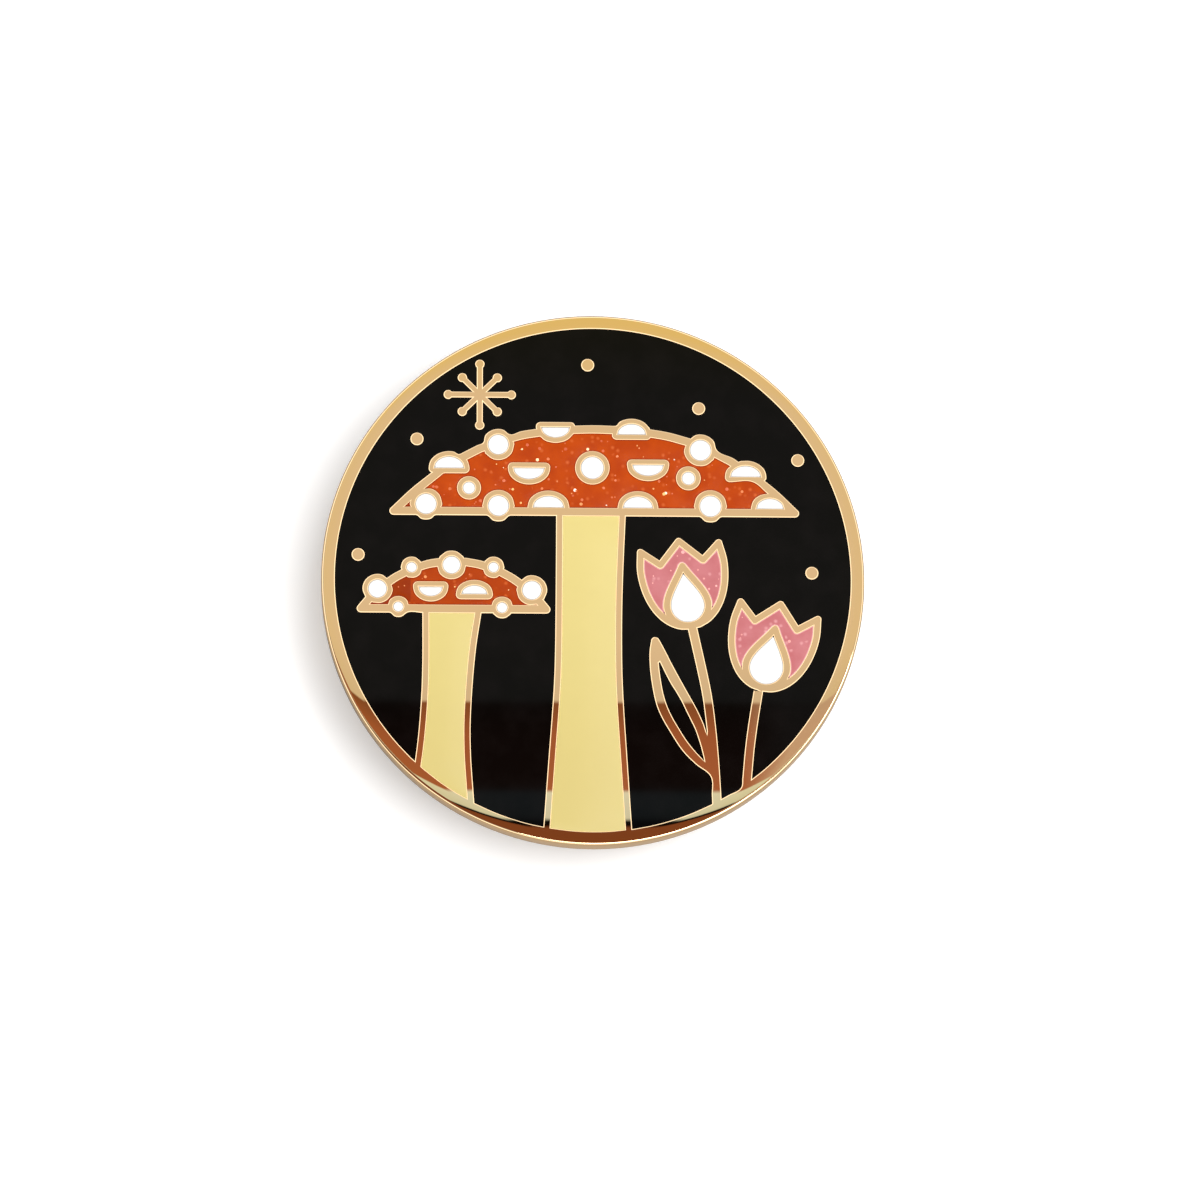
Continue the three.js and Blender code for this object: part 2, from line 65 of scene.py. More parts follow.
# ---- Struck plate.
# One disc of brass, struck in a die so that the rim and every line of the picture stand up and the cells
# between them are sunk. It is plated with gold and polished flat, which rolls the edges of the lines over.

EDGE_STEPS = [(0.0, 0.054), (0.017, 0.023), (0.062, 0.0)]  # mm a line's edge stands back, and its drop
NARROW_CELL_ROLL = 0.65  # the share of that beside all but the black cells, which the wheel reaches less
WALL_DEPTH = 0.4  # mm of cell wall below the polished face
OUTLINE_STEP = 0.1  # mm between the points of a smoothed outline
SHARP_TURN = math.radians(52)  # an outline keeps its corners that turn by more
LONG_SIDE = 2.5  # a side this many times as long as its neighbour is a straight one
LEAST_MITRE = 0.4  # keeps an offset's sharp corners from running out too far
PLATE_SIDES = 480
FRONT_ROUND = 0.15
BACK_ROUND = 0.3
ROLL_OFF_WIDTH = 0.45  # mm of rim that the polishing wheel has worn a little lower
ROLL_OFF_DROP = 0.0025
ROLL_OFF_STEPS = 6
ROUND_STEPS = 6  # to a quarter turn of the plate's edges


def linear(code):
    """An sRGB hex colour as linear RGBA."""
    values = [int(code[i : i + 2], 16) / 255 for i in (1, 3, 5)]
    return [v / 12.92 if v <= 0.04045 else ((v + 0.055) / 1.055) ** 2.4 for v in values] + [1.0]


def add_node(tree, kind, settings=None, links=None):
    """A node with its properties and inputs set: links maps an input to (node, output)."""
    node = tree.nodes.new(kind)
    for name, value in (settings or {}).items():
        if isinstance(name, str) and hasattr(node, name):
            setattr(node, name, value)
        else:
            node.inputs[name].default_value = value
    for name, (source, output) in (links or {}).items():
        tree.links.new(source.outputs[output], node.inputs[name])
    return node


def new_material(name, settings):
    """A material with its Principled shader's sockets set: returns the material, its tree and the shader."""
    material = bpy.data.materials.new(name)
    material.use_nodes = True
    shader = material.node_tree.nodes["Principled BSDF"]
    for socket, value in settings.items():
        shader.inputs[socket].default_value = value
    return material, material.node_tree, shader


def noise(tree, size, detail, stretch=None):
    """Noise that rides with the piece, its features about size mm across; stretch squeezes its axes."""
    place = add_node(tree, "ShaderNodeTexCoord")
    where = (place, "Object")
    if stretch:
        where = (add_node(tree, "ShaderNodeMapping", {"Scale": stretch}, {"Vector": where}), 0)
    return add_node(tree, "ShaderNodeTexNoise", {"Scale": 1 / (size * MM), "Detail": detail}, {
        "Vector": where,
    })


def ramp(tree, source, stops):
    """A colour ramp along source, a (node, output), through (position, linear colour) stops."""
    node = add_node(tree, "ShaderNodeValToRGB", {}, {"Fac": source})
    while len(node.color_ramp.elements) < len(stops):
        node.color_ramp.elements.new(0.5)
    for element, (position, color) in zip(node.color_ramp.elements, stops):
        element.position = position
        element.color = color
    return node


def tint(tree, shader, source, tones):
    """Colours a finish by a ramp along source, through (position, hex colour) tones."""
    colors = ramp(tree, source, [(position, linear(code)) for position, code in tones])
    tree.links.new(colors.outputs["Color"], shader.inputs["Base Color"])


def blend(tree, share, under, code, kind="MIX"):
    """Lays one colour over another by a share: share, under and the result are each a (node, output)."""
    mixed = add_node(tree, "ShaderNodeMix", {"data_type": "RGBA", "blend_type": kind, 7: linear(code)}, {
        0: share,
        6: under,
    })
    return mixed, 2


def vary_roughness(tree, shader, texture, least, most):
    """Lets a finish's roughness follow a noise, from least to most."""
    spread = add_node(tree, "ShaderNodeMapRange", {"To Min": least, "To Max": most}, {
        "Value": (texture, "Fac"),
    })
    tree.links.new(spread.outputs["Result"], shader.inputs["Roughness"])


def emboss(tree, shader, source, strength, depth):
    """Gives a finish a fine relief along source, depth mm deep."""
    relief = add_node(tree, "ShaderNodeBump", {"Strength": strength, "Distance": depth * MM}, {
        "Height": source,
    })
    tree.links.new(relief.outputs["Normal"], shader.inputs["Normal"])


def top_loops(node):
    """The outlines of a CAD node's top face in mm, each with the face on its left."""
    bm = bmesh.new()
    bm.from_mesh(frame["nodes"][node].data)
    bmesh.ops.remove_doubles(bm, verts=bm.verts, dist=0.0005 * MM)
    height = max(v.co.z for v in bm.verts) - 0.001 * MM
    # a dict and not a set, which would be gone through in another order at each run
    top = dict.fromkeys(f for f in bm.faces if all(v.co.z > height for v in f.verts))
    after = {}
    for facet in top:
        for corner in facet.loops:
            if not any(f in top for f in corner.edge.link_faces if f is not facet):
                after.setdefault(corner.vert, []).append(corner.link_loop_next.vert)
    loops = []
    while after:
        start = next(iter(after))
        loop, here = [], start
        while here in after:
            loop.append(Vector((here.co.x, here.co.y)) / MM)
            followers = after[here]
            there = followers.pop()
            if not followers:
                del after[here]
            here = there
        loops.append(loop)
    bm.free()
    return loops


def smooth(loop):
    """The outline with its facets rounded out and its real corners kept."""
    count = len(loop)
    sides = [loop[(i + 1) % count] - loop[i] for i in range(count)]
    lengths = [side.length for side in sides]
    sides = [side.normalized() for side in sides]

    def tangents(i):
        """The directions in which the curve reaches a point and leaves it; a long side stays straight."""
        came, leaves = sides[i - 1], sides[i]
        if came.angle(leaves) > SHARP_TURN:
            return came, leaves
        before, following = lengths[i - 1], lengths[i]
        if before > LONG_SIDE * following:
            return came, came
        if following > LONG_SIDE * before:
            return leaves, leaves
        shared = (came * following + leaves * before).normalized()
        return shared, shared

    points = []
    for i in range(count):
        there = (i + 1) % count
        start, end = tangents(i)[1] * lengths[i], tangents(there)[0] * lengths[i]
        bent = max(start.angle(end), start.angle(sides[i]), end.angle(sides[i])) > 0.01
        steps = max(1, round(lengths[i] / OUTLINE_STEP)) if bent else 1
        for s in range(steps):
            t = s / steps
            a, b = 2 * t**3 - 3 * t**2 + 1, t**3 - 2 * t**2 + t
            c, d = 3 * t**2 - 2 * t**3, t**3 - t**2
            points.append(a * loop[i] + b * start + c * loop[there] + d * end)
    return points


def offset(loop, distance):
    """The outline moved to its right by distance, in mm."""
    moved = []
    for i, here in enumerate(loop):
        came = (here - loop[i - 1]).normalized()
        leaves = (loop[(i + 1) % len(loop)] - here).normalized()
        middle = came + leaves
        middle = middle.normalized() if middle.length > 1e-6 else came
        across = Vector((middle.y, -middle.x))
        mitre = max(LEAST_MITRE, across.dot(Vector((came.y, -came.x))))
        moved.append(here + across * (distance / mitre))
    return moved


def circle(radius, sides, x=0.0, y=0.0):
    """An outline with its inside on its left."""
    turns = [2 * math.pi * i / sides for i in range(sides)]
    return [Vector((x + radius * math.cos(a), y + radius * math.sin(a))) for a in turns]


def fill(bm, loops, height, up=True):
    """A flat face inside the outlines and outside those in them, at a height in mm."""
    points, edges = [], []
    for loop in loops:
        first = len(points)
        points += loop
        edges += [(first + i, first + (i + 1) % len(loop)) for i in range(len(loop))]
    found, found_edges, faces, _, sources, _ = delaunay_2d_cdt(points, edges, [], 0, 1e-7)
    turns = {}  # how many more times the outlines go round an edge's left than its right
    for (v, w), source in zip(found_edges, sources):
        for k in source:
            a, b = edges[k]
            along = (found[w] - found[v]).dot(points[b] - points[a])
            turns[v, w] = turns.get((v, w), 0) + (1 if along > 0 else -1)
            turns[w, v] = -turns[v, w]
    left_of = {(v, facet[(i + 1) % 3]): f for f, facet in enumerate(faces) for i, v in enumerate(facet)}
    rounds, queue = {}, []
    for (v, w), f in left_of.items():
        if (w, v) not in left_of and f not in rounds:
            rounds[f] = turns.get((v, w), 0)
            queue.append(f)
    while queue:
        f = queue.pop()
        for i, v in enumerate(faces[f]):
            w = faces[f][(i + 1) % 3]
            g = left_of.get((w, v))
            if g is not None and g not in rounds:
                rounds[g] = rounds[f] - turns.get((v, w), 0)
                queue.append(g)
    verts = {}
    for f, facet in enumerate(faces):
        if rounds[f] > 0:
            for v in facet:
                if v not in verts:
                    verts[v] = bm.verts.new((found[v].x * MM, found[v].y * MM, height * MM))
            corners = [verts[v] for v in facet]
            bm.faces.new(corners if up else corners[::-1])


def strip(bm, rows):
    """Joins rows of (outline, height): what is on the outlines' left is inside, and the rows go down."""
    made = [[bm.verts.new((p.x * MM, p.y * MM, z * MM)) for p in loop] for loop, z in rows]
    for above, below in zip(made, made[1:]):
        for i in range(len(above)):
            j = (i + 1) % len(above)
            bm.faces.new((above[i], below[i], below[j], above[j]))


def make_piece(name, bm, materials, body, replaced, sharp=30):
    """A finished piece at the origin, made from bm."""
    bmesh.ops.remove_doubles(bm, verts=bm.verts, dist=2e-8)
    mesh = bpy.data.meshes.new(name)
    bm.to_mesh(mesh)
    bm.free()
    for material in materials:
        mesh.materials.append(material)
    piece = bpy.data.objects.new(name, mesh)
    bpy.context.scene.collection.objects.link(piece)
    return finish_piece(piece, body, replaced, sharp)


def finish_piece(piece, body, replaced, sharp):
    """Rides the piece on a body in place of CAD nodes; edges that turn past sharp degrees stay crisp."""
    piece.data.shade_smooth()
    piece.data.set_sharp_from_angle(angle=math.radians(sharp))
    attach(piece, body)
    if replaced:
        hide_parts(*replaced)
    return piece


def round_corner(radius, height, curve, start, steps):
    """Points of a quarter circle of a turned profile, as (radius, height) in mm."""
    turns = [start + math.pi / 2 * s / steps for s in range(steps + 1)]
    return [(radius + curve * math.cos(a), height + curve * math.sin(a)) for a in turns]


# Gold plating over polished brass: a mirror with a warm cast, with faint polishing haze and waves.
gold, tree, shader = new_material("polished_gold_plating", {
    "Base Color": linear("#EDCEA2"),
    "Metallic": 1.0,
    "Roughness": 0.012,
})
vary_roughness(tree, shader, noise(tree, 0.9, 3.0), 0.006, 0.018)
emboss(tree, shader, (noise(tree, 1.6, 1.0), "Fac"), 0.2, 0.002)

# The same plating over the back, where the die left a fine sand-blasted grain: satin, with a soft glint.
satin_gold, tree, shader = new_material("sand_blasted_gold_plating", {
    "Base Color": linear("#E3C08A"),
    "Metallic": 1.0,
    "Roughness": 0.34,
})
place = add_node(tree, "ShaderNodeTexCoord")
grain = add_node(tree, "ShaderNodeTexVoronoi", {"Scale": 1 / (0.22 * MM)}, {"Vector": (place, "Object")})
emboss(tree, shader, (grain, "Distance"), 0.5, 0.02)

plate_low, plate_high = (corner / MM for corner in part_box("struck_plate"))
plate_radius = (plate_high.x - plate_low.x) / 2
back, face = plate_low.z, plate_high.z
ENAMEL = {
    color: [n for n in sorted(frame["nodes"]) if n.startswith(color + "_")]
    for color in ("black", "red", "pink", "yellow", "white")
}
cells = {node: [smooth(loop) for loop in top_loops(node)] for nodes in ENAMEL.values() for node in nodes}

bm = bmesh.new()
edge_tops = []
for node, loops in cells.items():
    floor_loops = []
    share = 1.0 if node in ENAMEL["black"] else NARROW_CELL_ROLL
    for loop in loops:
        rows = [(offset(loop, back_by * share), face - drop * share) for back_by, drop in EDGE_STEPS]
        edge_tops.append(rows[-1][0])
        floor_loops.append(rows[0][0])
        # the cell is on the outline's left, so its wall faces left: the rows run upwards
        strip(bm, [(rows[0][0], face - WALL_DEPTH)] + rows)
    fill(bm, floor_loops, face - WALL_DEPTH)
flat_radius = plate_radius - FRONT_ROUND - ROLL_OFF_WIDTH
profile = [(flat_radius - 0.02, face), (flat_radius, face)]
for step in range(1, ROLL_OFF_STEPS + 1):
    share = step / ROLL_OFF_STEPS
    profile.append((flat_radius + ROLL_OFF_WIDTH * share, face - ROLL_OFF_DROP * share**2))
front_centre = face - ROLL_OFF_DROP - FRONT_ROUND
profile += round_corner(plate_radius - FRONT_ROUND, front_centre, FRONT_ROUND, 0, ROUND_STEPS)[-2::-1]
back_centre = back + BACK_ROUND
profile += round_corner(plate_radius - BACK_ROUND, back_centre, BACK_ROUND, -math.pi / 2, ROUND_STEPS)[::-1]
strip(bm, [(circle(r, PLATE_SIDES), z) for r, z in profile])
fill(bm, [circle(profile[0][0], PLATE_SIDES)] + [loop[::-1] for loop in edge_tops], face)
fill(bm, [circle(profile[-1][0], PLATE_SIDES)], back, up=False)
bm.normal_update()
for facet in bm.faces:
    if facet.normal.z < -0.8:
        facet.material_index = 1  # the back
make_piece("polished_plate", bm, [gold, satin_gold], "pin", ["struck_plate"], sharp=17)


# ---- Enamel.
# A paste of resin and pigment is pressed into each cell, cured, and ground level with the metal lines. It
# shrinks a hair below them, and turns down at their walls in a low fillet, where painted shade darkens the
# white and the red and a painted highlight lightens the pink.

ENAMEL_DROP = 0.03  # mm below the polished lines
ENAMEL_FLOOR = 0.36  # mm from the polished lines to the pool's underside
CREEP = 0.004  # mm that the enamel reaches past its CAD outline, to the wall
FILLET_SLOPE = 0.15  # the fall of the fillet for each mm of its width


def pour(name, nodes, material, fillet):
    """One piece for every pool of a colour; the attribute "fillet" rises to 1 at the walls."""
    bm = bmesh.new()
    at_wall = bm.verts.layers.float.new("fillet")
    level = face - ENAMEL_DROP
    for node in nodes:
        outside = [offset(loop, CREEP) for loop in cells[node]]
        edge = level
        tops = outside
        if fillet:
            tops = [offset(loop, -fillet) for loop in outside]
            edge = level - fillet * FILLET_SLOPE
            for inner, outer in zip(tops, outside):
                strip(bm, [(inner, level), (outer, edge)])
        fill(bm, tops, level)
        for loop in outside:
            strip(bm, [(loop, edge), (loop, face - ENAMEL_FLOOR)])
        fill(bm, outside, face - ENAMEL_FLOOR, up=False)
    for vert in bm.verts:
        vert[at_wall] = 1.0 if vert.co.z / MM < level - 1e-4 else 0.0
    return make_piece(name, bm, [material], "pin", nodes)


# Black hard enamel: near black, smooth as glass, with the faintest cloudiness from grinding.
black, tree, shader = new_material("black_hard_enamel", {
    "Base Color": linear("#040303"),
    "Roughness": 0.04,
    "IOR": 1.5,
    "Specular IOR Level": 0.1,
})
tint(tree, shader, (noise(tree, 1.5, 4.0), "Fac"), [(0.42, "#020202"), (0.72, "#060505")])

# White hard enamel: an even, clean white, greyed by painted shade where it turns down at the wall.
white, tree, shader = new_material("white_hard_enamel", {
    "Base Color": linear("#FBFAF7"),
    "Roughness": 0.15,
    "IOR": 1.5,
    "Specular IOR Level": 0.3,
})
wall = add_node(tree, "ShaderNodeAttribute", {"attribute_name": "fillet"})
# painted shade: greyer along the fillet at the wall
tint(tree, shader, (wall, "Fac"), [(0.0, "#FBFAF7"), (1.0, "#8E857C")])

# Yellow hard enamel: a pale butter yellow, a shade deeper towards the foot of each stalk.
yellow, tree, shader = new_material("pale_yellow_hard_enamel", {
    "Base Color": linear("#E0CF88"),
    "Roughness": 0.14,
    "IOR": 1.5,
    "Specular IOR Level": 0.3,
})
place = add_node(tree, "ShaderNodeTexCoord")
axes = add_node(tree, "ShaderNodeSeparateXYZ", {}, {"Vector": (place, "Object")})
down = add_node(tree, "ShaderNodeMapRange", {"From Min": 4 * MM, "From Max": -15 * MM}, {
    "Value": (axes, "Y"),
})
depth = add_node(tree, "ShaderNodeMath", {"operation": "MULTIPLY_ADD", 1: 0.3}, {
    0: (noise(tree, 1.2, 3.0), "Fac"),
    2: (down, 0),
})
tint(tree, shader, (depth, 0), [(0.0, "#D2C17A"), (1.0, "#C6B573")])


DARKER_CELLS_TOP = 3.5  # mm up the picture: the cells below it get a darker tone
BLOT = 0.3  # mm, how wide a sunk flake looks through the enamel
UNLIT_FLAKES = 0.78  # the share of the sunk flakes that catch no light
corner_cell_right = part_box("red_large_cap_pool_2")[1].x  # the large cap's corner cell is darkened too, with painted shade


def glitter_enamel(name, deep, shade, body_color, glow, at_wall):
    """Translucent enamel: the flakes below its surface show as soft lighter spots, which are painted glints.
    """
    material, tree, shader = new_material(name, {
        "Base Color": linear(body_color),
        "Roughness": 0.1,
        "IOR": 1.5,
        "Specular IOR Level": 0.12,
    })
    place = add_node(tree, "ShaderNodeTexCoord")
    tone = ramp(tree, (noise(tree, 1.1, 3.0), "Fac"), [(0.35, linear(shade)), (0.65, linear(body_color))])
    sunk = add_node(tree, "ShaderNodeTexVoronoi", {"Scale": 1 / (BLOT * MM), "Randomness": 1.0}, {
        "Vector": (place, "Object"),
    })
    soft = add_node(tree, "ShaderNodeMapRange", {"From Min": 0.5, "From Max": 0.1, "To Max": 0.75}, {
        "Value": (sunk, "Distance"),
    })
    lot = add_node(tree, "ShaderNodeSeparateColor", {}, {"Color": (sunk, "Color")})
    some = add_node(tree, "ShaderNodeMath", {"operation": "GREATER_THAN", 1: UNLIT_FLAKES}, {
        0: (lot, "Red"),
    })
    shown = add_node(tree, "ShaderNodeMath", {"operation": "MULTIPLY"}, {0: (soft, "Result"), 1: (some, 0)})
    axes = add_node(tree, "ShaderNodeSeparateXYZ", {}, {"Vector": (place, "Object")})
    # the cells below the given height get a darker tone
    lower_cells = add_node(tree, "ShaderNodeMapRange", {
        "From Min": DARKER_CELLS_TOP * MM,
        "From Max": DARKER_CELLS_TOP * MM - MM,
        "To Max": 0.3,
    }, {"Value": (axes, "Y")})
    # the large cap's corner cell, darkened as painted shade
    corner = add_node(tree, "ShaderNodeMapRange", {
        "From Min": corner_cell_right + 0.1 * MM,
        "From Max": corner_cell_right,
        "To Max": 0.75,
    }, {"Value": (axes, "X")})
    darker_share = add_node(tree, "ShaderNodeMath", {"operation": "MAXIMUM"}, {0: (lower_cells, 0), 1: (corner, 0)})
    # mixes in the deep colour: a darker tone in the lower cells, painted shade in the corner cell
    darkened = blend(tree, (darker_share, 0), (tone, 0), deep)
    # painted glints: the sunk flakes that catch the light, as lighter spots
    spots = blend(tree, (shown, 0), darkened, glow)
    # at the walls: painted shade in the red, a painted highlight in the pink
    wall = add_node(tree, "ShaderNodeAttribute", {"attribute_name": "fillet"})
    edged, output = blend(tree, (wall, "Fac"), spots, at_wall)
    tree.links.new(edged.outputs[output], shader.inputs["Base Color"])
    return material


# The red's colour at the walls is painted shade.
red = glitter_enamel(
    "orange_red_glitter_enamel",
    deep="#7A2708", shade="#A6390A", body_color="#B2420A", glow="#C85F2C", at_wall="#7A2708",
)
# The pink's colour at the walls is a painted highlight.
pink = glitter_enamel(
    "pink_glitter_enamel",
    deep="#A05A5A", shade="#BC6C70", body_color="#C67B7F", glow="#D79A9C", at_wall="#E2B4B0",
)

pour("night_sky_enamel", ENAMEL["black"], black, 0)
pour("toadstool_cap_enamel", ENAMEL["red"], red, 0.08)
pour("tulip_petal_enamel", ENAMEL["pink"], pink, 0.07)
pour("stalk_enamel", ENAMEL["yellow"], yellow, 0.04)
pour("white_enamel_spots", ENAMEL["white"], white, 0.11)


# ---- Glitter.
# Flakes of metallised polyester film, cut to hexagons 0.05 to 0.2 mm across and stirred into the red and the
# pink enamel. These are the ones that lie at the ground surface, where each flashes by itself.

FLAKE_MARGIN = 0.13  # mm from a cell's wall
FLAKE_THICKNESS = 0.012
FLAKE_TILT = math.radians(4)


def new_tree(name, inputs):
    """A Geometry Nodes tree: returns it, its inputs' identifiers by name, and its two end nodes."""
    tree = bpy.data.node_groups.new(name, "GeometryNodeTree")
    tree.interface.new_socket("Geometry", in_out="OUTPUT", socket_type="NodeSocketGeometry")
    sockets = {
        label: tree.interface.new_socket(label, in_out="INPUT", socket_type=kind).identifier
        for label, kind in inputs.items()
    }
    return tree, sockets, add_node(tree, "NodeGroupInput"), add_node(tree, "NodeGroupOutput")


def grow_piece(name, bm, tree, sockets, values, body):
    """A finished piece that a Geometry Nodes tree makes from a mesh."""
    mesh = bpy.data.meshes.new(name)
    bm.to_mesh(mesh)
    bm.free()
    piece = bpy.data.objects.new(name, mesh)
    bpy.context.scene.collection.objects.link(piece)
    modifier = piece.modifiers.new("grow", "NODES")
    modifier.node_group = tree
    for label, value in values.items():
        modifier[sockets[label]] = value
    depsgraph = bpy.context.evaluated_depsgraph_get()
    grown = bpy.data.meshes.new_from_object(piece.evaluated_get(depsgraph), depsgraph=depsgraph)
    piece.modifiers.remove(modifier)
    piece.data = grown
    return finish_piece(piece, body, [], 30)


flake_tree, flake_sockets, start, end = new_tree("scattered_flakes", {
    "Geometry": "NodeSocketGeometry",
    "Flakes per Square Metre": "NodeSocketFloat",
    "Largest Radius": "NodeSocketFloat",
    "Thickness": "NodeSocketFloat",
    "Tilt": "NodeSocketFloat",
    "Seed": "NodeSocketInt",
    "Material": "NodeSocketMaterial",
})
scatter = add_node(flake_tree, "GeometryNodeDistributePointsOnFaces", {}, {
    "Mesh": (start, "Geometry"),
    "Density": (start, "Flakes per Square Metre"),
    "Seed": (start, "Seed"),
})
lot = add_node(flake_tree, "FunctionNodeRandomValue", {"data_type": "FLOAT"}, {"Seed": (start, "Seed")})
marked = add_node(flake_tree, "GeometryNodeStoreNamedAttribute", {
    "data_type": "FLOAT",
    "Name": "flake_tone",
}, {"Geometry": (scatter, "Points"), "Value": (lot, 1)})
hexagon = add_node(flake_tree, "GeometryNodeMeshCylinder", {"Vertices": 6}, {
    "Radius": (start, "Largest Radius"),
    "Depth": (start, "Thickness"),
})
level_tilt = add_node(flake_tree, "ShaderNodeMath", {"operation": "MULTIPLY", 1: -1.0}, {
    0: (start, "Tilt"),
})
least = add_node(flake_tree, "ShaderNodeCombineXYZ", {}, {"X": (level_tilt, 0), "Y": (level_tilt, 0)})
most = add_node(flake_tree, "ShaderNodeCombineXYZ", {"Z": math.tau}, {
    "X": (start, "Tilt"), "Y": (start, "Tilt"),
})
turned = add_node(flake_tree, "FunctionNodeRandomValue", {"data_type": "FLOAT_VECTOR"}, {
    0: (least, 0),
    1: (most, 0),
    "Seed": (start, "Seed"),
})
size = add_node(flake_tree, "FunctionNodeRandomValue", {"data_type": "FLOAT", 2: 0.0, 3: 1.0, "Seed": 7})
few_large = add_node(flake_tree, "ShaderNodeMath", {"operation": "POWER", 1: 2.2}, {0: (size, 1)})
share = add_node(flake_tree, "ShaderNodeMapRange", {"To Min": 0.3, "To Max": 1.0}, {
    "Value": (few_large, 0),
})
flakes = add_node(flake_tree, "GeometryNodeInstanceOnPoints", {}, {
    "Points": (marked, "Geometry"),
    "Instance": (hexagon, "Mesh"),
    "Rotation": (turned, 0),
    "Scale": (share, "Result"),
})
real = add_node(flake_tree, "GeometryNodeRealizeInstances", {}, {"Geometry": (flakes, "Instances")})
coated = add_node(flake_tree, "GeometryNodeSetMaterial", {}, {
    "Geometry": (real, "Geometry"),
    "Material": (start, "Material"),
})
flake_tree.links.new(coated.outputs["Geometry"], end.inputs["Geometry"])


def glitter_film(name, tones):
    """Metallised film in tinted resin: each flake has its own tone, and a few are painted nearly white as
    painted glints.
    """
    material, tree, shader = new_material(name, {"Metallic": 0.2, "Roughness": 0.35})
    lot = add_node(tree, "ShaderNodeAttribute", {"attribute_name": "flake_tone"})
    tint(tree, shader, (lot, "Fac"), tones)
    return material


orange_film = glitter_film("orange_glitter_film", [
    (0.0, "#BC5028"), (0.55, "#CB6836"), (0.8, "#DE9152"), (0.9, "#F0BE72"), (0.97, "#FFF3E0"),
])
rose_film = glitter_film("rose_glitter_film", [
    (0.0, "#D68C88"), (0.7, "#E0A09C"), (0.9, "#F0C2BC"), (0.96, "#FFFFFF"),
])

for name, color, film, crowd, radius, seed, slot in (
    ("toadstool_cap_glitter", "red", orange_film, 1.7, 0.11, 3, "red_glitter_enamel"),
    ("tulip_petal_glitter", "pink", rose_film, 1.4, 0.11, 5, "pink_glitter_enamel"),
):
    bm = bmesh.new()
    for node in ENAMEL[color]:
        fill(bm, [offset(loop, -FLAKE_MARGIN) for loop in cells[node]], face - ENAMEL_DROP)
    grow_piece(name, bm, flake_tree, flake_sockets, {
        "Flakes per Square Metre": crowd / MM**2,
        "Largest Radius": radius * MM,
        "Thickness": FLAKE_THICKNESS * MM,
        "Tilt": FLAKE_TILT,
        "Seed": seed,
        "Material": film,
    }, "pin")


# ---- Posts.
# Two plated steel nails with flat heads, their heads soldered to the plate's back. Each shank has a ground
# point, and a groove near it that the clutch's jaws snap into if it is pulled down that far.

POST_SIDES = 48
POST_RADIUS = 0.5
POST_POINT_LENGTH = 0.9
GROOVE_DEPTH = 0.12
GROOVE_WIDTH = 0.4
GROOVE_FROM_TIP = 1.5
HEAD_THICKNESS = 0.2
HEAD_FILLET = 0.25
TIP_RADIUS = 0.09  # the blunt end of the ground point


def rounded(corners, steps=5):
    """A closed outline from (x, y, radius) corners, each turned in a smooth curve of about that radius."""
    points = []
    for i, (x, y, radius) in enumerate(corners):
        here = Vector((x, y))
        back_way = Vector(corners[i - 1][:2]) - here
        on_way = Vector(corners[(i + 1) % len(corners)][:2]) - here
        reach = min(radius, 0.48 * back_way.length, 0.48 * on_way.length)
        if reach < 1e-6:
            points.append((x, y))
            continue
        start, end = here + back_way.normalized() * reach, here + on_way.normalized() * reach
        for s in range(steps + 1):
            t = s / steps
            point = start * (1 - t) ** 2 + here * 2 * t * (1 - t) + end * t**2
            points.append((point.x, point.y))
    return points


def turn(bm, profile, x, sides, swell=None):
    """Turns a closed (radius, height) outline about an upright axis at x; swell(angle) scales the radius."""
    rows = []
    for radius, height in profile:
        angles = [0.0] if radius < 1e-6 else [2 * math.pi * i / sides for i in range(sides)]
        row = []
        for angle in angles:
            r = radius * (swell(angle) if swell else 1.0)
            row.append(bm.verts.new(((x + r * math.cos(angle)) * MM, r * math.sin(angle) * MM, height * MM)))
        rows.append(row)
    for above, below in zip(rows, rows[1:] + rows[:1]):
        for i in range(sides):
            j = (i + 1) % sides
            corners = [above[i % len(above)], below[i % len(below)]]
            corners += [below[j % len(below)], above[j % len(above)]]
            corners = list(dict.fromkeys(corners))
            if len(corners) > 2:
                bm.faces.new(corners)
    bmesh.ops.recalc_face_normals(bm, faces=bm.faces)


# Nickel over drawn steel wire: a cool bright metal, with fine rings left by the drawing.
steel, tree, shader = new_material("nickel_plated_steel_wire", {
    "Base Color": linear("#CFCBC3"),
    "Metallic": 1.0,
    "Roughness": 0.2,
})
rings = noise(tree, 0.12, 3.0, stretch=(0.2, 0.2, 1.0))
vary_roughness(tree, shader, rings, 0.12, 0.3)
emboss(tree, shader, (rings, "Fac"), 0.3, 0.004)

for side in ("left", "right"):
    low, high = (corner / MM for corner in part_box(f"{side}_post"))
    middle = (low.x + high.x) / 2
    head_radius = (high.x - low.x) / 2
    groove = low.z + GROOVE_FROM_TIP
    under_head = high.z - HEAD_THICKNESS
    neck = POST_RADIUS - GROOVE_DEPTH
    profile = rounded([
        (0.0, low.z, 0.0),
        (TIP_RADIUS, low.z + 0.03, 0.06),
        (POST_RADIUS, low.z + POST_POINT_LENGTH, 0.35),
        (POST_RADIUS, groove - GROOVE_WIDTH / 2, 0.05),
        (neck, groove - GROOVE_WIDTH / 4, 0.06),
        (neck, groove + GROOVE_WIDTH / 4, 0.06),
        (POST_RADIUS, groove + GROOVE_WIDTH / 2, 0.05),
        (POST_RADIUS, under_head - HEAD_FILLET, 0.2),
        (POST_RADIUS + HEAD_FILLET, under_head, 0.2),
        (head_radius, under_head, 0.07),
        (head_radius, high.z, 0.04),
        (0.0, high.z, 0.0),
    ])
    bm = bmesh.new()
    turn(bm, profile, middle, POST_SIDES)
    make_piece(f"{side}_nail_post", bm, [steel], "pin", [f"{side}_post"], sharp=40)


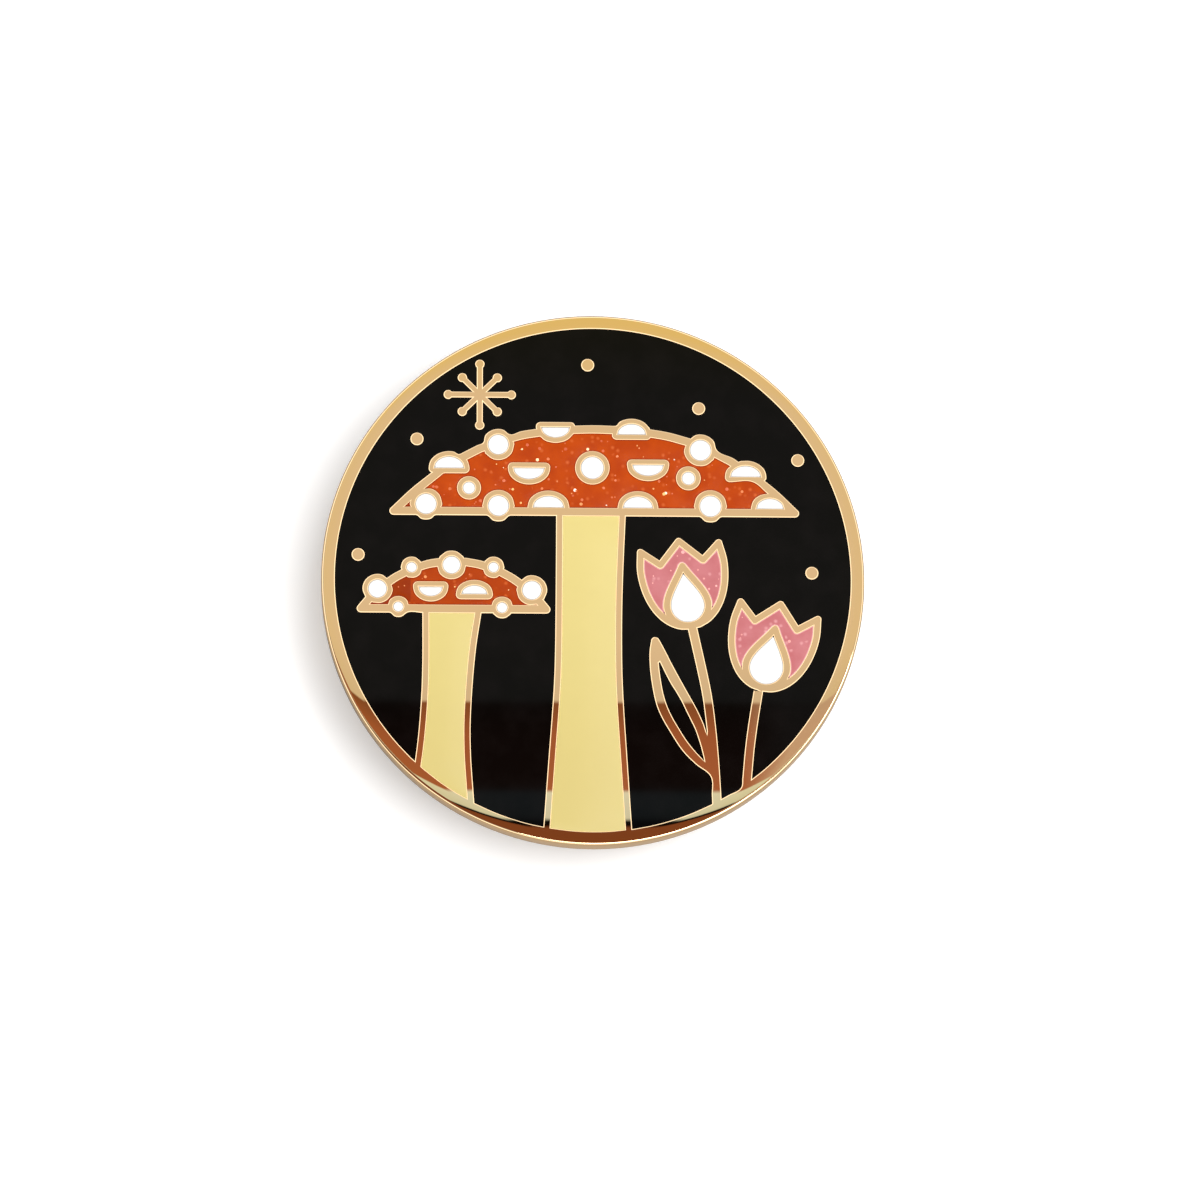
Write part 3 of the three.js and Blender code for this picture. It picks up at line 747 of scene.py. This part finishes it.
# ---- Solder.
# A ring of soft solder round each post's head, where it ran when the head was heated against the plate's
# back. It wets the metal at its foot, and its edge wanders a little.

SOLDER_SIDES = 72


def run_out(angle, phase):
    """How far the solder ran at an angle round the post, as a share of the furthest."""
    return 1 - 0.012 * (1 + math.sin(3 * angle + phase)) - 0.006 * (1 + math.sin(7 * angle))


# Tin solder: a dull silver skin, a little lumpy, that went matt as it froze.
tin, tree, shader = new_material("soft_tin_solder", {
    "Base Color": linear("#B9B7B1"),
    "Metallic": 1.0,
    "Roughness": 0.4,
})
lumps = noise(tree, 0.35, 4.0)
vary_roughness(tree, shader, lumps, 0.28, 0.55)
emboss(tree, shader, (lumps, "Fac"), 0.6, 0.03)

for side, phase in (("left", 0.4), ("right", 2.1)):
    low, high = (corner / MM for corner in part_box(f"{side}_post_solder"))
    middle = (low.x + high.x) / 2
    outer = (high.x - low.x) / 2
    inner = head_radius + 0.01
    profile = rounded([
        (inner, low.z + 0.02, 0.02),
        (inner + 0.1, low.z + 0.05, 0.1),
        (inner + 0.2, high.z - 0.08, 0.12),
        (outer, high.z - 0.02, 0.02),
        (outer, high.z, 0.0),
        (inner, high.z, 0.0),
    ])
    bm = bmesh.new()
    turn(bm, profile, middle, SOLDER_SIDES, lambda angle: run_out(angle, phase))
    make_piece(f"{side}_solder_fillet", bm, [tin], "pin", [f"{side}_post_solder"])


# ---- Clutch caps.
# A butterfly clutch's round cap, pressed from brass sheet: a funnel guides the post into its hole, six low
# bumps keep it from turning on the cloth, and its edge is curled in all round to hold the spring plate.

CAP_SIDES = 144
CAP_SHEET = 0.3
CAP_LIP_WIDTH = 1.0
CAP_HOLE_CLEARANCE = 0.22
FUNNEL_DEPTH = 0.35
BUMP_COUNT = 6
BUMP_CIRCLE = 3.3
BUMP_RADIUS = 0.34
BUMP_HEIGHT = 0.12

# Brass sheet, pressed and barrel polished: a soft yellow shine with fine scratches in every direction.
brass, tree, shader = new_material("barrel_polished_brass_sheet", {
    "Base Color": linear("#E2BE6F"),
    "Metallic": 1.0,
    "Roughness": 0.2,
})
place = add_node(tree, "ShaderNodeTexCoord")
rubbed = noise(tree, 0.8, 5.0)
vary_roughness(tree, shader, rubbed, 0.12, 0.3)
tint(tree, shader, (rubbed, "Fac"), [(0.3, "#D8B060"), (0.7, "#E8C67C")])
scratches = add_node(tree, "ShaderNodeTexVoronoi", {
    "feature": "DISTANCE_TO_EDGE",
    "Scale": 1 / (0.5 * MM),
}, {"Vector": (place, "Object")})
fine = add_node(tree, "ShaderNodeMapRange", {"From Max": 0.03}, {"Value": (scratches, "Distance")})
emboss(tree, shader, (fine, "Result"), 0.25, 0.003)

bump_tree, bump_sockets, start, end = new_tree("ring_of_bumps", {
    "Count": "NodeSocketInt",
    "Circle Radius": "NodeSocketFloat",
    "Bump Radius": "NodeSocketFloat",
    "Bump Height": "NodeSocketFloat",
    "Centre": "NodeSocketVector",
    "Material": "NodeSocketMaterial",
})
places = add_node(bump_tree, "GeometryNodeMeshCircle", {}, {
    "Vertices": (start, "Count"),
    "Radius": (start, "Circle Radius"),
})
placed = add_node(bump_tree, "GeometryNodeTransform", {}, {
    "Geometry": (places, "Mesh"),
    "Translation": (start, "Centre"),
})
ball = add_node(bump_tree, "GeometryNodeMeshUVSphere", {"Segments": 20, "Rings": 12}, {
    "Radius": (start, "Bump Radius"),
})
flat = add_node(bump_tree, "ShaderNodeMath", {"operation": "DIVIDE"}, {
    0: (start, "Bump Height"),
    1: (start, "Bump Radius"),
})
squash = add_node(bump_tree, "ShaderNodeCombineXYZ", {"X": 1.0, "Y": 1.0}, {"Z": (flat, 0)})
bumps = add_node(bump_tree, "GeometryNodeInstanceOnPoints", {}, {
    "Points": (placed, "Geometry"),
    "Instance": (ball, "Mesh"),
    "Scale": (squash, 0),
})
real = add_node(bump_tree, "GeometryNodeRealizeInstances", {}, {"Geometry": (bumps, "Instances")})
coated = add_node(bump_tree, "GeometryNodeSetMaterial", {}, {
    "Geometry": (real, "Geometry"),
    "Material": (start, "Material"),
})
bump_tree.links.new(coated.outputs["Geometry"], end.inputs["Geometry"])

clutches = {}
for side in ("left", "right"):
    low, high = (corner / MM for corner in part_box(f"{side}_clutch_cap"))
    middle = (low.x + high.x) / 2
    front = high.z
    clutches[side] = (middle, front)
    outer = (high.x - low.x) / 2
    hole = POST_RADIUS + CAP_HOLE_CLEARANCE
    mouth = hole + FUNNEL_DEPTH + 0.15
    profile = rounded([
        (hole, front - FUNNEL_DEPTH, 0.03),
        (hole + 0.12, front - FUNNEL_DEPTH - CAP_SHEET * 0.8, 0.04),
        (mouth + 0.1, front - CAP_SHEET, 0.35),
        (outer - CAP_SHEET, front - CAP_SHEET, 0.3),
        (outer - CAP_SHEET, low.z + CAP_SHEET, 0.15),
        (outer - CAP_LIP_WIDTH, low.z + CAP_SHEET, 0.1),
        (outer - CAP_LIP_WIDTH, low.z, 0.12),
        (outer, low.z, 0.4),
        (outer, front, 0.45),
        (mouth, front, 0.35),
    ])
    bm = bmesh.new()
    turn(bm, profile, middle, CAP_SIDES)
    make_piece(
        f"{side}_clutch_pressed_cap", bm, [brass], f"{side}_clutch",
        [f"{side}_clutch_cap"], sharp=40,
    )
    grow_piece(f"{side}_clutch_cap_bumps", bmesh.new(), bump_tree, bump_sockets, {
        "Count": BUMP_COUNT,
        "Circle Radius": BUMP_CIRCLE * MM,
        "Bump Radius": BUMP_RADIUS * MM,
        "Bump Height": BUMP_HEIGHT * MM,
        "Centre": (middle * MM, 0.0, front * MM),
        "Material": brass,
    }, f"{side}_clutch")


# ---- Spring plates.
# A round plate of hard brass under the cap's lip. It is pierced with a slot for the jaws, and the slot's two
# ends are turned down as lugs that carry the wings.

PLATE_TOP = 0.8  # mm below the clutch's front
PLATE_SHEET = 0.3
PLATE_ROUND = 0.06
SLOT_HALF_LENGTH = 2.05
SLOT_HALF_WIDTH = 2.1
SLOT_CORNER = 0.35
LUG_HALF_WIDTH = 1.7
LUG_SHEET = 0.29
LUG_LOW = 1.655  # mm below the clutch's front
LUG_FOOT = 0.6  # mm that a lug runs back under the plate
EDGE_ROUND = 0.1
BENT_SHEET_STEP = 0.16  # mm between the sections of a bent strip


def bent_sheet(bm, path, half_width, thickness, middle, turned=False):
    """A strip of sheet bent along (reach, height) points; half_width(reach, from_end) is in mm."""
    lengths = [0.0]
    for a, b in zip(path, path[1:]):
        lengths.append(lengths[-1] + math.hypot(b[0] - a[0], b[1] - a[1]))
    total = lengths[-1]
    near = [EDGE_ROUND * share for share in (0.0, 0.12, 0.4, 1.0)]
    count = max(2, round(total / BENT_SHEET_STEP))
    stations = near + [near[-1] + (total - 2 * near[-1]) * i / count for i in range(1, count)]
    stations += [total - s for s in near[::-1]]
    rings = []
    for s in stations:
        i = max(k for k in range(len(path) - 1) if lengths[k] <= s + 1e-9)
        share = (s - lengths[i]) / (lengths[i + 1] - lengths[i])
        here = Vector(path[i]).lerp(Vector(path[i + 1]), share)
        ahead, behind = (Vector(path[k]) for k in (min(i + 2, len(path) - 1), max(i - 1, 0)))
        before = (Vector(path[i + 1]) - behind).normalized()
        after = (ahead - Vector(path[i])).normalized()
        along = before.lerp(after, share)
        out = Vector((-along.y, along.x)).normalized()
        end_gap = max(0.0, EDGE_ROUND - min(s, total - s))
        inset = EDGE_ROUND - math.sqrt(EDGE_ROUND**2 - end_gap**2)
        half = half_width(here.x, total - s) - inset
        deep = thickness / 2 - inset
        corner = max(0.004, EDGE_ROUND - inset)
        signs = [(1, 1), (-1, 1), (-1, -1), (1, -1)]
        section = rounded([(half * u, deep * v, corner) for u, v in signs], 3)
        ring = []
        for across, lift in section:
            x, y, z = here.x + out.x * lift, across, here.y + out.y * lift
            x, y = (-x, -y) if turned else (x, y)
            ring.append(bm.verts.new(((middle + x) * MM, y * MM, max(z, 0.0) * MM)))
        rings.append(ring)
    for a, b in zip(rings, rings[1:]):
        for i in range(len(a)):
            j = (i + 1) % len(a)
            bm.faces.new((a[i], a[j], b[j], b[i]))
    bm.faces.new(rings[0][::-1])
    bm.faces.new(rings[-1])
    bmesh.ops.recalc_face_normals(bm, faces=bm.faces)


# Hard-rolled brass strip: paler and springier than the cap, with fine straight lines from the rolls.
strip_brass, tree, shader = new_material("rolled_spring_brass_strip", {
    "Base Color": linear("#DDBA74"),
    "Metallic": 1.0,
    "Roughness": 0.24,
})
rolled = noise(tree, 0.15, 3.0, stretch=(0.08, 1.0, 0.08))
vary_roughness(tree, shader, rolled, 0.16, 0.34)
emboss(tree, shader, (rolled, "Fac"), 0.3, 0.004)

for side, (middle, front) in clutches.items():
    low, high = (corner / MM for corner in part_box(f"{side}_clutch_spring_plate"))
    disc = circle((high.x - low.x) / 2, CAP_SIDES, middle)
    slot = [Vector((middle + x, y)) for x, y in rounded([
        (-SLOT_HALF_LENGTH, -SLOT_HALF_WIDTH, SLOT_CORNER),
        (SLOT_HALF_LENGTH, -SLOT_HALF_WIDTH, SLOT_CORNER),
        (SLOT_HALF_LENGTH, SLOT_HALF_WIDTH, SLOT_CORNER),
        (-SLOT_HALF_LENGTH, SLOT_HALF_WIDTH, SLOT_CORNER),
    ])][::-1]
    top, bottom = front - PLATE_TOP, front - PLATE_TOP - PLATE_SHEET
    bm = bmesh.new()
    for outline in (disc, slot):
        strip(bm, [
            (offset(outline, -PLATE_ROUND), top),
            (outline, top - PLATE_ROUND),
            (outline, bottom + PLATE_ROUND),
            (offset(outline, -PLATE_ROUND), bottom),
        ])
    faces = [offset(outline, -PLATE_ROUND) for outline in (disc, slot)]
    fill(bm, faces, top)
    fill(bm, faces, bottom, up=False)
    for turned_round in (False, True):
        centre_line = top - PLATE_SHEET / 2
        bend = SLOT_HALF_LENGTH + PLATE_SHEET / 2
        path = rounded([
            (bend + LUG_FOOT, centre_line, 0.0),
            (bend, centre_line, 0.3),
            (bend, front - LUG_LOW, 0.0),
            (bend, front - LUG_LOW, 0.0),
        ])[:-1]
        bent_sheet(bm, path, lambda reach, from_end: LUG_HALF_WIDTH, LUG_SHEET, middle, turned_round)
    make_piece(
        f"{side}_clutch_slotted_plate", bm, [strip_brass], f"{side}_clutch",
        [f"{side}_clutch_spring_plate"], sharp=40,
    )


# ---- Butterfly wings.
# Two bent brass levers to each clutch. Their inner ends are the jaws that press on the post; squeezing the
# fanned outer ends together rocks each wing on its lug and lets the post go.

WING_SHEET = 0.35
WING_NECK_HALF = 1.7
WING_HALF = 3.6
JAW_HALF = 0.9
TIP_ROUND = 2.2  # mm of a wing's tip that is rounded off
TIP_POWER = 2.6
TIP_NARROWING = 0.97
WING_SIDE = [  # reach from the post's axis, and depth below the clutch's front
    (0.55, 1.27), (1.15, 1.32), (1.6, 1.6), (1.95, 1.95), (2.7, 2.36),
    (3.6, 2.92), (4.4, 3.72), (5.08, 4.75), (5.325, 6.0),
]


def bezier(a, b, c, d, steps):
    """Points of a cubic curve after its start."""
    turns = [(s + 1) / steps for s in range(steps)]
    return [
        tuple(
            p * (1 - t) ** 3 + 3 * q * (1 - t) ** 2 * t + 3 * r * (1 - t) * t**2 + e * t**3
            for p, q, r, e in zip(a, b, c, d)
        )
        for t in turns
    ]


def curve_through(points, steps):
    """A smooth curve through points, with steps to each span."""
    full = [points[0]] + points + [points[-1]]
    found = [points[0]]
    for a, b, c, d in zip(full, full[1:], full[2:], full[3:]):
        away = [q + (r - p) / 6 for p, q, r in zip(a, b, c)]
        towards = [r - (e - q) / 6 for q, r, e in zip(b, c, d)]
        found += bezier(b, away, towards, c, steps)
    return found


# reach from the post's axis, and half the width there
fan = [(0.0, JAW_HALF), (0.85, WING_NECK_HALF), (2.45, WING_NECK_HALF)]
fan += bezier(fan[-1], (3.0, WING_NECK_HALF), (3.1, WING_HALF), (4.3, WING_HALF), 20)
fan += bezier((4.6, WING_HALF), (5.2, WING_HALF), (5.5, 3.0), (5.8, 0.0), 20)


def wing_half_width(reach, from_end):
    """Half a wing's width at a reach from the post: a narrow jaw, a neck and a fan with a rounded tip."""
    for (x0, w0), (x1, w1) in zip(fan, fan[1:]):
        if x0 <= reach <= x1:
            half = w0 + (w1 - w0) * (reach - x0) / (x1 - x0)
            break
    into_tip = max(0.0, 1 - from_end / TIP_ROUND)
    return half * (1 - TIP_NARROWING * into_tip**TIP_POWER) ** (1 / TIP_POWER)


for side, (middle, front) in clutches.items():
    path = [(reach, front - depth) for reach, depth in curve_through(WING_SIDE, 6)]
    for wing, turned_round in (("a", False), ("b", True)):
        bm = bmesh.new()
        bent_sheet(bm, path, wing_half_width, WING_SHEET, middle, turned_round)
        make_piece(
            f"{side}_clutch_butterfly_wing_{wing}", bm, [strip_brass], f"{side}_clutch_wing_{wing}",
            [f"{side}_clutch_wing_{wing}"], sharp=40,
        )


# ---- Floor, light and camera.
# A plain white surface that the clutch wings stand on, a pale tent of light round it, and a long lens above.
# The floor lowers itself to stay under the lowest wing when a clutch is pulled down its post, and it isn't
# seen from below, so that the pin's back is.

PAPER = "#F8F8F8"
PAPER_MIRRORED = "#B2A89B"  # as the metal mirrors it, where the room's shade falls on it
PAPER_GLOW = 0.2
PAPER_GLOW_FAR = 0.45  # past the reach of the window's light, so that it stays as pale

# White paper: matt and even, lifted to white by the light that it scatters.
floor_material, tree, shader = new_material("white_floor", {
    "Base Color": linear(PAPER),
    "Roughness": 0.9,
    "Specular IOR Level": 0.0,
    "Emission Color": linear("#FFFFFF"),
    "Emission Strength": PAPER_GLOW,
})
ray = add_node(tree, "ShaderNodeLightPath")
mirrored = add_node(tree, "ShaderNodeMix", {
    "data_type": "RGBA",
    6: linear(PAPER),
    7: linear(PAPER_MIRRORED),
}, {0: (ray, "Is Glossy Ray")})
tree.links.new(mirrored.outputs[2], shader.inputs["Base Color"])
place = add_node(tree, "ShaderNodeTexCoord")
away = add_node(tree, "ShaderNodeVectorMath", {"operation": "LENGTH"}, {0: (place, "Object")})
far = add_node(tree, "ShaderNodeMapRange", {
    "From Min": 0.15,
    "From Max": 0.8,
    "To Min": PAPER_GLOW,
    "To Max": PAPER_GLOW_FAR,
}, {"Value": (away, "Value")})
not_mirrored = add_node(tree, "ShaderNodeMath", {"operation": "SUBTRACT", 0: 1.0}, {
    1: (ray, "Is Glossy Ray"),
})
paper_glow = add_node(tree, "ShaderNodeMath", {"operation": "MULTIPLY"}, {
    0: (far, "Result"), 1: (not_mirrored, 0),
})
tree.links.new(paper_glow.outputs[0], shader.inputs["Emission Strength"])
facing = add_node(tree, "ShaderNodeNewGeometry")
under = add_node(tree, "ShaderNodeMath", {"operation": "MULTIPLY"}, {
    0: (ray, "Is Camera Ray"),
    1: (facing, "Backfacing"),
})
clear = add_node(tree, "ShaderNodeBsdfTransparent")
one_sided = add_node(tree, "ShaderNodeMixShader", {}, {0: (under, 0), 1: (shader, 0), 2: (clear, 0)})
tree.links.new(one_sided.outputs[0], tree.nodes["Material Output"].inputs["Surface"])
wings = [o for o in bpy.context.scene.objects if "_clutch_butterfly_wing_" in o.name]
floor_tree, _, start, end = new_tree("floor_under_the_wings", {"Geometry": "NodeSocketGeometry"})
together = add_node(floor_tree, "GeometryNodeJoinGeometry")
for wing in wings:
    seen_wing = add_node(floor_tree, "GeometryNodeObjectInfo", {
        "transform_space": "RELATIVE",
        "Object": wing,
    })
    floor_tree.links.new(seen_wing.outputs["Geometry"], together.inputs["Geometry"])
extent = add_node(floor_tree, "GeometryNodeBoundBox", {}, {"Geometry": (together, 0)})
lowest = add_node(floor_tree, "ShaderNodeSeparateXYZ", {}, {"Vector": (extent, "Min")})
drop = add_node(floor_tree, "ShaderNodeMath", {"operation": "MINIMUM", 1: 0.0}, {0: (lowest, "Z")})
shift = add_node(floor_tree, "ShaderNodeCombineXYZ", {}, {"Z": (drop, 0)})
moved = add_node(floor_tree, "GeometryNodeTransform", {}, {
    "Geometry": (start, "Geometry"),
    "Translation": (shift, 0),
})
floor_tree.links.new(moved.outputs["Geometry"], end.inputs["Geometry"])
bpy.ops.mesh.primitive_plane_add(size=3.0)
floor = bpy.context.object
floor.name = "floor"
floor.data.materials.append(floor_material)
floor.modifiers.new("level", "NODES").node_group = floor_tree

# What the polished metal mirrors, from the top of the face down: a cream wall, a brown table, a pale window,
# a dark gap and more brown. Only mirror rays meet the card, so it tints no enamel and throws no shadow.
REFLECTOR_HEIGHT = 80  # mm above the pin's face
REFLECTOR_HALF = 45
REFLECTOR_CENTRE = (2, 18)
REFLECTED = [  # mm up the card, and the colour there; each blends evenly into the next
    (-27, "#854F35"),
    (1.2, "#854F35"),
    (1.25, "#100C09"),
    (1.6, "#100C09"),
    (1.7, "#DDEEF4"),
    (3.6, "#E8FAFF"),
    (3.7, "#B17053"),
    (7.5, "#AA6A4C"),
    (9.85, "#8A5A3C"),
    (9.95, "#E2DACE"),
    (14.0, "#EEE4D6"),
    (31.0, "#EEE4D6"),
    (36.5, "#F1E2B0"),
]
MIRRORED_MIDDLE = (2.3 * MM, 18.5 * MM, 0.0)  # the part of the card that the middle of the face mirrors
card_material = bpy.data.materials.new("studio_reflector_card")
card_material.use_nodes = True
tree = card_material.node_tree
tree.nodes.clear()
place = add_node(tree, "ShaderNodeTexCoord")
axes = add_node(tree, "ShaderNodeSeparateXYZ", {}, {"Vector": (place, "Object")})
low, high = REFLECTED[0][0] * MM, REFLECTED[-1][0] * MM
zones = add_node(tree, "ShaderNodeMapRange", {"From Min": low, "From Max": high}, {"Value": (axes, "Y")})
stops = [((up * MM - low) / (high - low), linear(code)) for up, code in REFLECTED]
colors = ramp(tree, (zones, "Result"), stops)
flat = add_node(tree, "ShaderNodeVectorMath", {"operation": "MULTIPLY", 1: (1.0, 1.0, 0.0)}, {
    0: (place, "Object"),
})
from_middle = add_node(tree, "ShaderNodeVectorMath", {"operation": "DISTANCE", 1: MIRRORED_MIDDLE}, {
    0: (flat, 0),
})
outer = add_node(tree, "ShaderNodeMapRange", {"From Min": 16.5 * MM, "From Max": 18.8 * MM}, {
    "Value": (from_middle, "Value"),
})
yellowed = blend(tree, (outer, "Result"), (colors, "Color"), "#FFFFF1", "MULTIPLY")
# the table's right end is in the window's light
lit_end = add_node(tree, "ShaderNodeMapRange", {"From Min": 12.5 * MM, "From Max": 16 * MM}, {
    "Value": (axes, "X"),
})
lit_share = add_node(tree, "ShaderNodeMath", {"operation": "MULTIPLY", 1: 0.75}, {0: (lit_end, "Result")})
across = blend(tree, (lit_share, 0), yellowed, "#DDCEC2", "LIGHTEN")
glow = add_node(tree, "ShaderNodeEmission", {"Strength": 1.0}, {"Color": across})
add_node(tree, "ShaderNodeOutputMaterial", {}, {"Surface": (glow, "Emission")})
bm = bmesh.new()
bmesh.ops.create_grid(bm, x_segments=1, y_segments=1, size=REFLECTOR_HALF * MM)
bmesh.ops.translate(bm, verts=bm.verts, vec=Vector((*REFLECTOR_CENTRE, face + REFLECTOR_HEIGHT)) * MM)
mesh = bpy.data.meshes.new("reflector_card")
bm.to_mesh(mesh)
bm.free()
mesh.materials.append(card_material)
card = bpy.data.objects.new("reflector_card", mesh)
bpy.context.scene.collection.objects.link(card)
card.visible_camera = False
card.visible_diffuse = False
card.visible_shadow = False

# The tent is brightest in a band between 25 and 50 degrees up, which lights the rolled edges of the lines.
# Each pair is a height, as the sine of the angle up, and the brightness there.
TENT = [(0.0, 0.2), (0.3, 0.25), (0.45, 1.0), (0.78, 1.0), (0.88, 0.25), (1.0, 0.22)]
TENT_STRENGTH = 1.85
TENT_ON_MATT = 0.45  # the share of it that lights what isn't mirrored
world = bpy.data.worlds.new("light_tent")
bpy.context.scene.world = world
world.use_nodes = True
tree = world.node_tree
place = add_node(tree, "ShaderNodeTexCoord")
axes = add_node(tree, "ShaderNodeSeparateXYZ", {}, {"Vector": (place, "Generated")})
band = ramp(tree, (axes, "Z"), [(sine, (level, level, level, 1)) for sine, level in TENT])
ray = add_node(tree, "ShaderNodeLightPath")
matt = add_node(tree, "ShaderNodeMapRange", {
    "To Min": TENT_STRENGTH,
    "To Max": TENT_STRENGTH * TENT_ON_MATT,
}, {"Value": (ray, "Is Diffuse Ray")})
brightness = add_node(tree, "ShaderNodeMath", {"operation": "MULTIPLY"}, {
    0: (band, "Color"), 1: (matt, "Result"),
})
seen = add_node(tree, "ShaderNodeMix", {"data_type": "FLOAT", "B": 1.0}, {
    "Factor": (ray, "Is Camera Ray"),
    "A": (brightness, 0),
})
background = tree.nodes["Background"]
background.inputs["Color"].default_value = (1, 1, 1, 1)
tree.links.new(seen.outputs["Result"], background.inputs["Strength"])

# A soft window light from the right, which throws the pin's shadow to the left.
key = bpy.data.lights.new("window", "AREA")
key.energy = 1.72
key.size = 0.24
key_object = bpy.data.objects.new("window", key)
bpy.context.scene.collection.objects.link(key_object)
key_object.location = (0.105, -0.045, 0.42)
key_object.rotation_euler = (-key_object.location).to_track_quat("-Z", "Y").to_euler()

CAMERA_DISTANCE = 500
VIEW_WIDTH = 70.59  # mm across the picture at the pin
SENSOR_WIDTH = 36
camera = bpy.data.cameras.new("long_lens")
camera.sensor_width = SENSOR_WIDTH
camera.lens = SENSOR_WIDTH * CAMERA_DISTANCE / VIEW_WIDTH
camera.clip_start = 0.01
camera.clip_end = 10
camera_object = bpy.data.objects.new("long_lens", camera)
bpy.context.scene.collection.objects.link(camera_object)
# the lens looks down, from a little towards the foot of the picture
toward = Vector((-0.03, -0.2285, 1.0)).normalized()
aim = Vector((0.41, -1.29, face))
camera_object.location = (aim + toward * CAMERA_DISTANCE) * MM
across = Vector((0, 1, 0)).cross(toward).normalized()
upward = toward.cross(across)
camera_object.rotation_euler = Matrix((across, upward, toward)).transposed().to_euler()
bpy.context.scene.camera = camera_object
bpy.context.scene.view_settings.view_transform = "Standard"
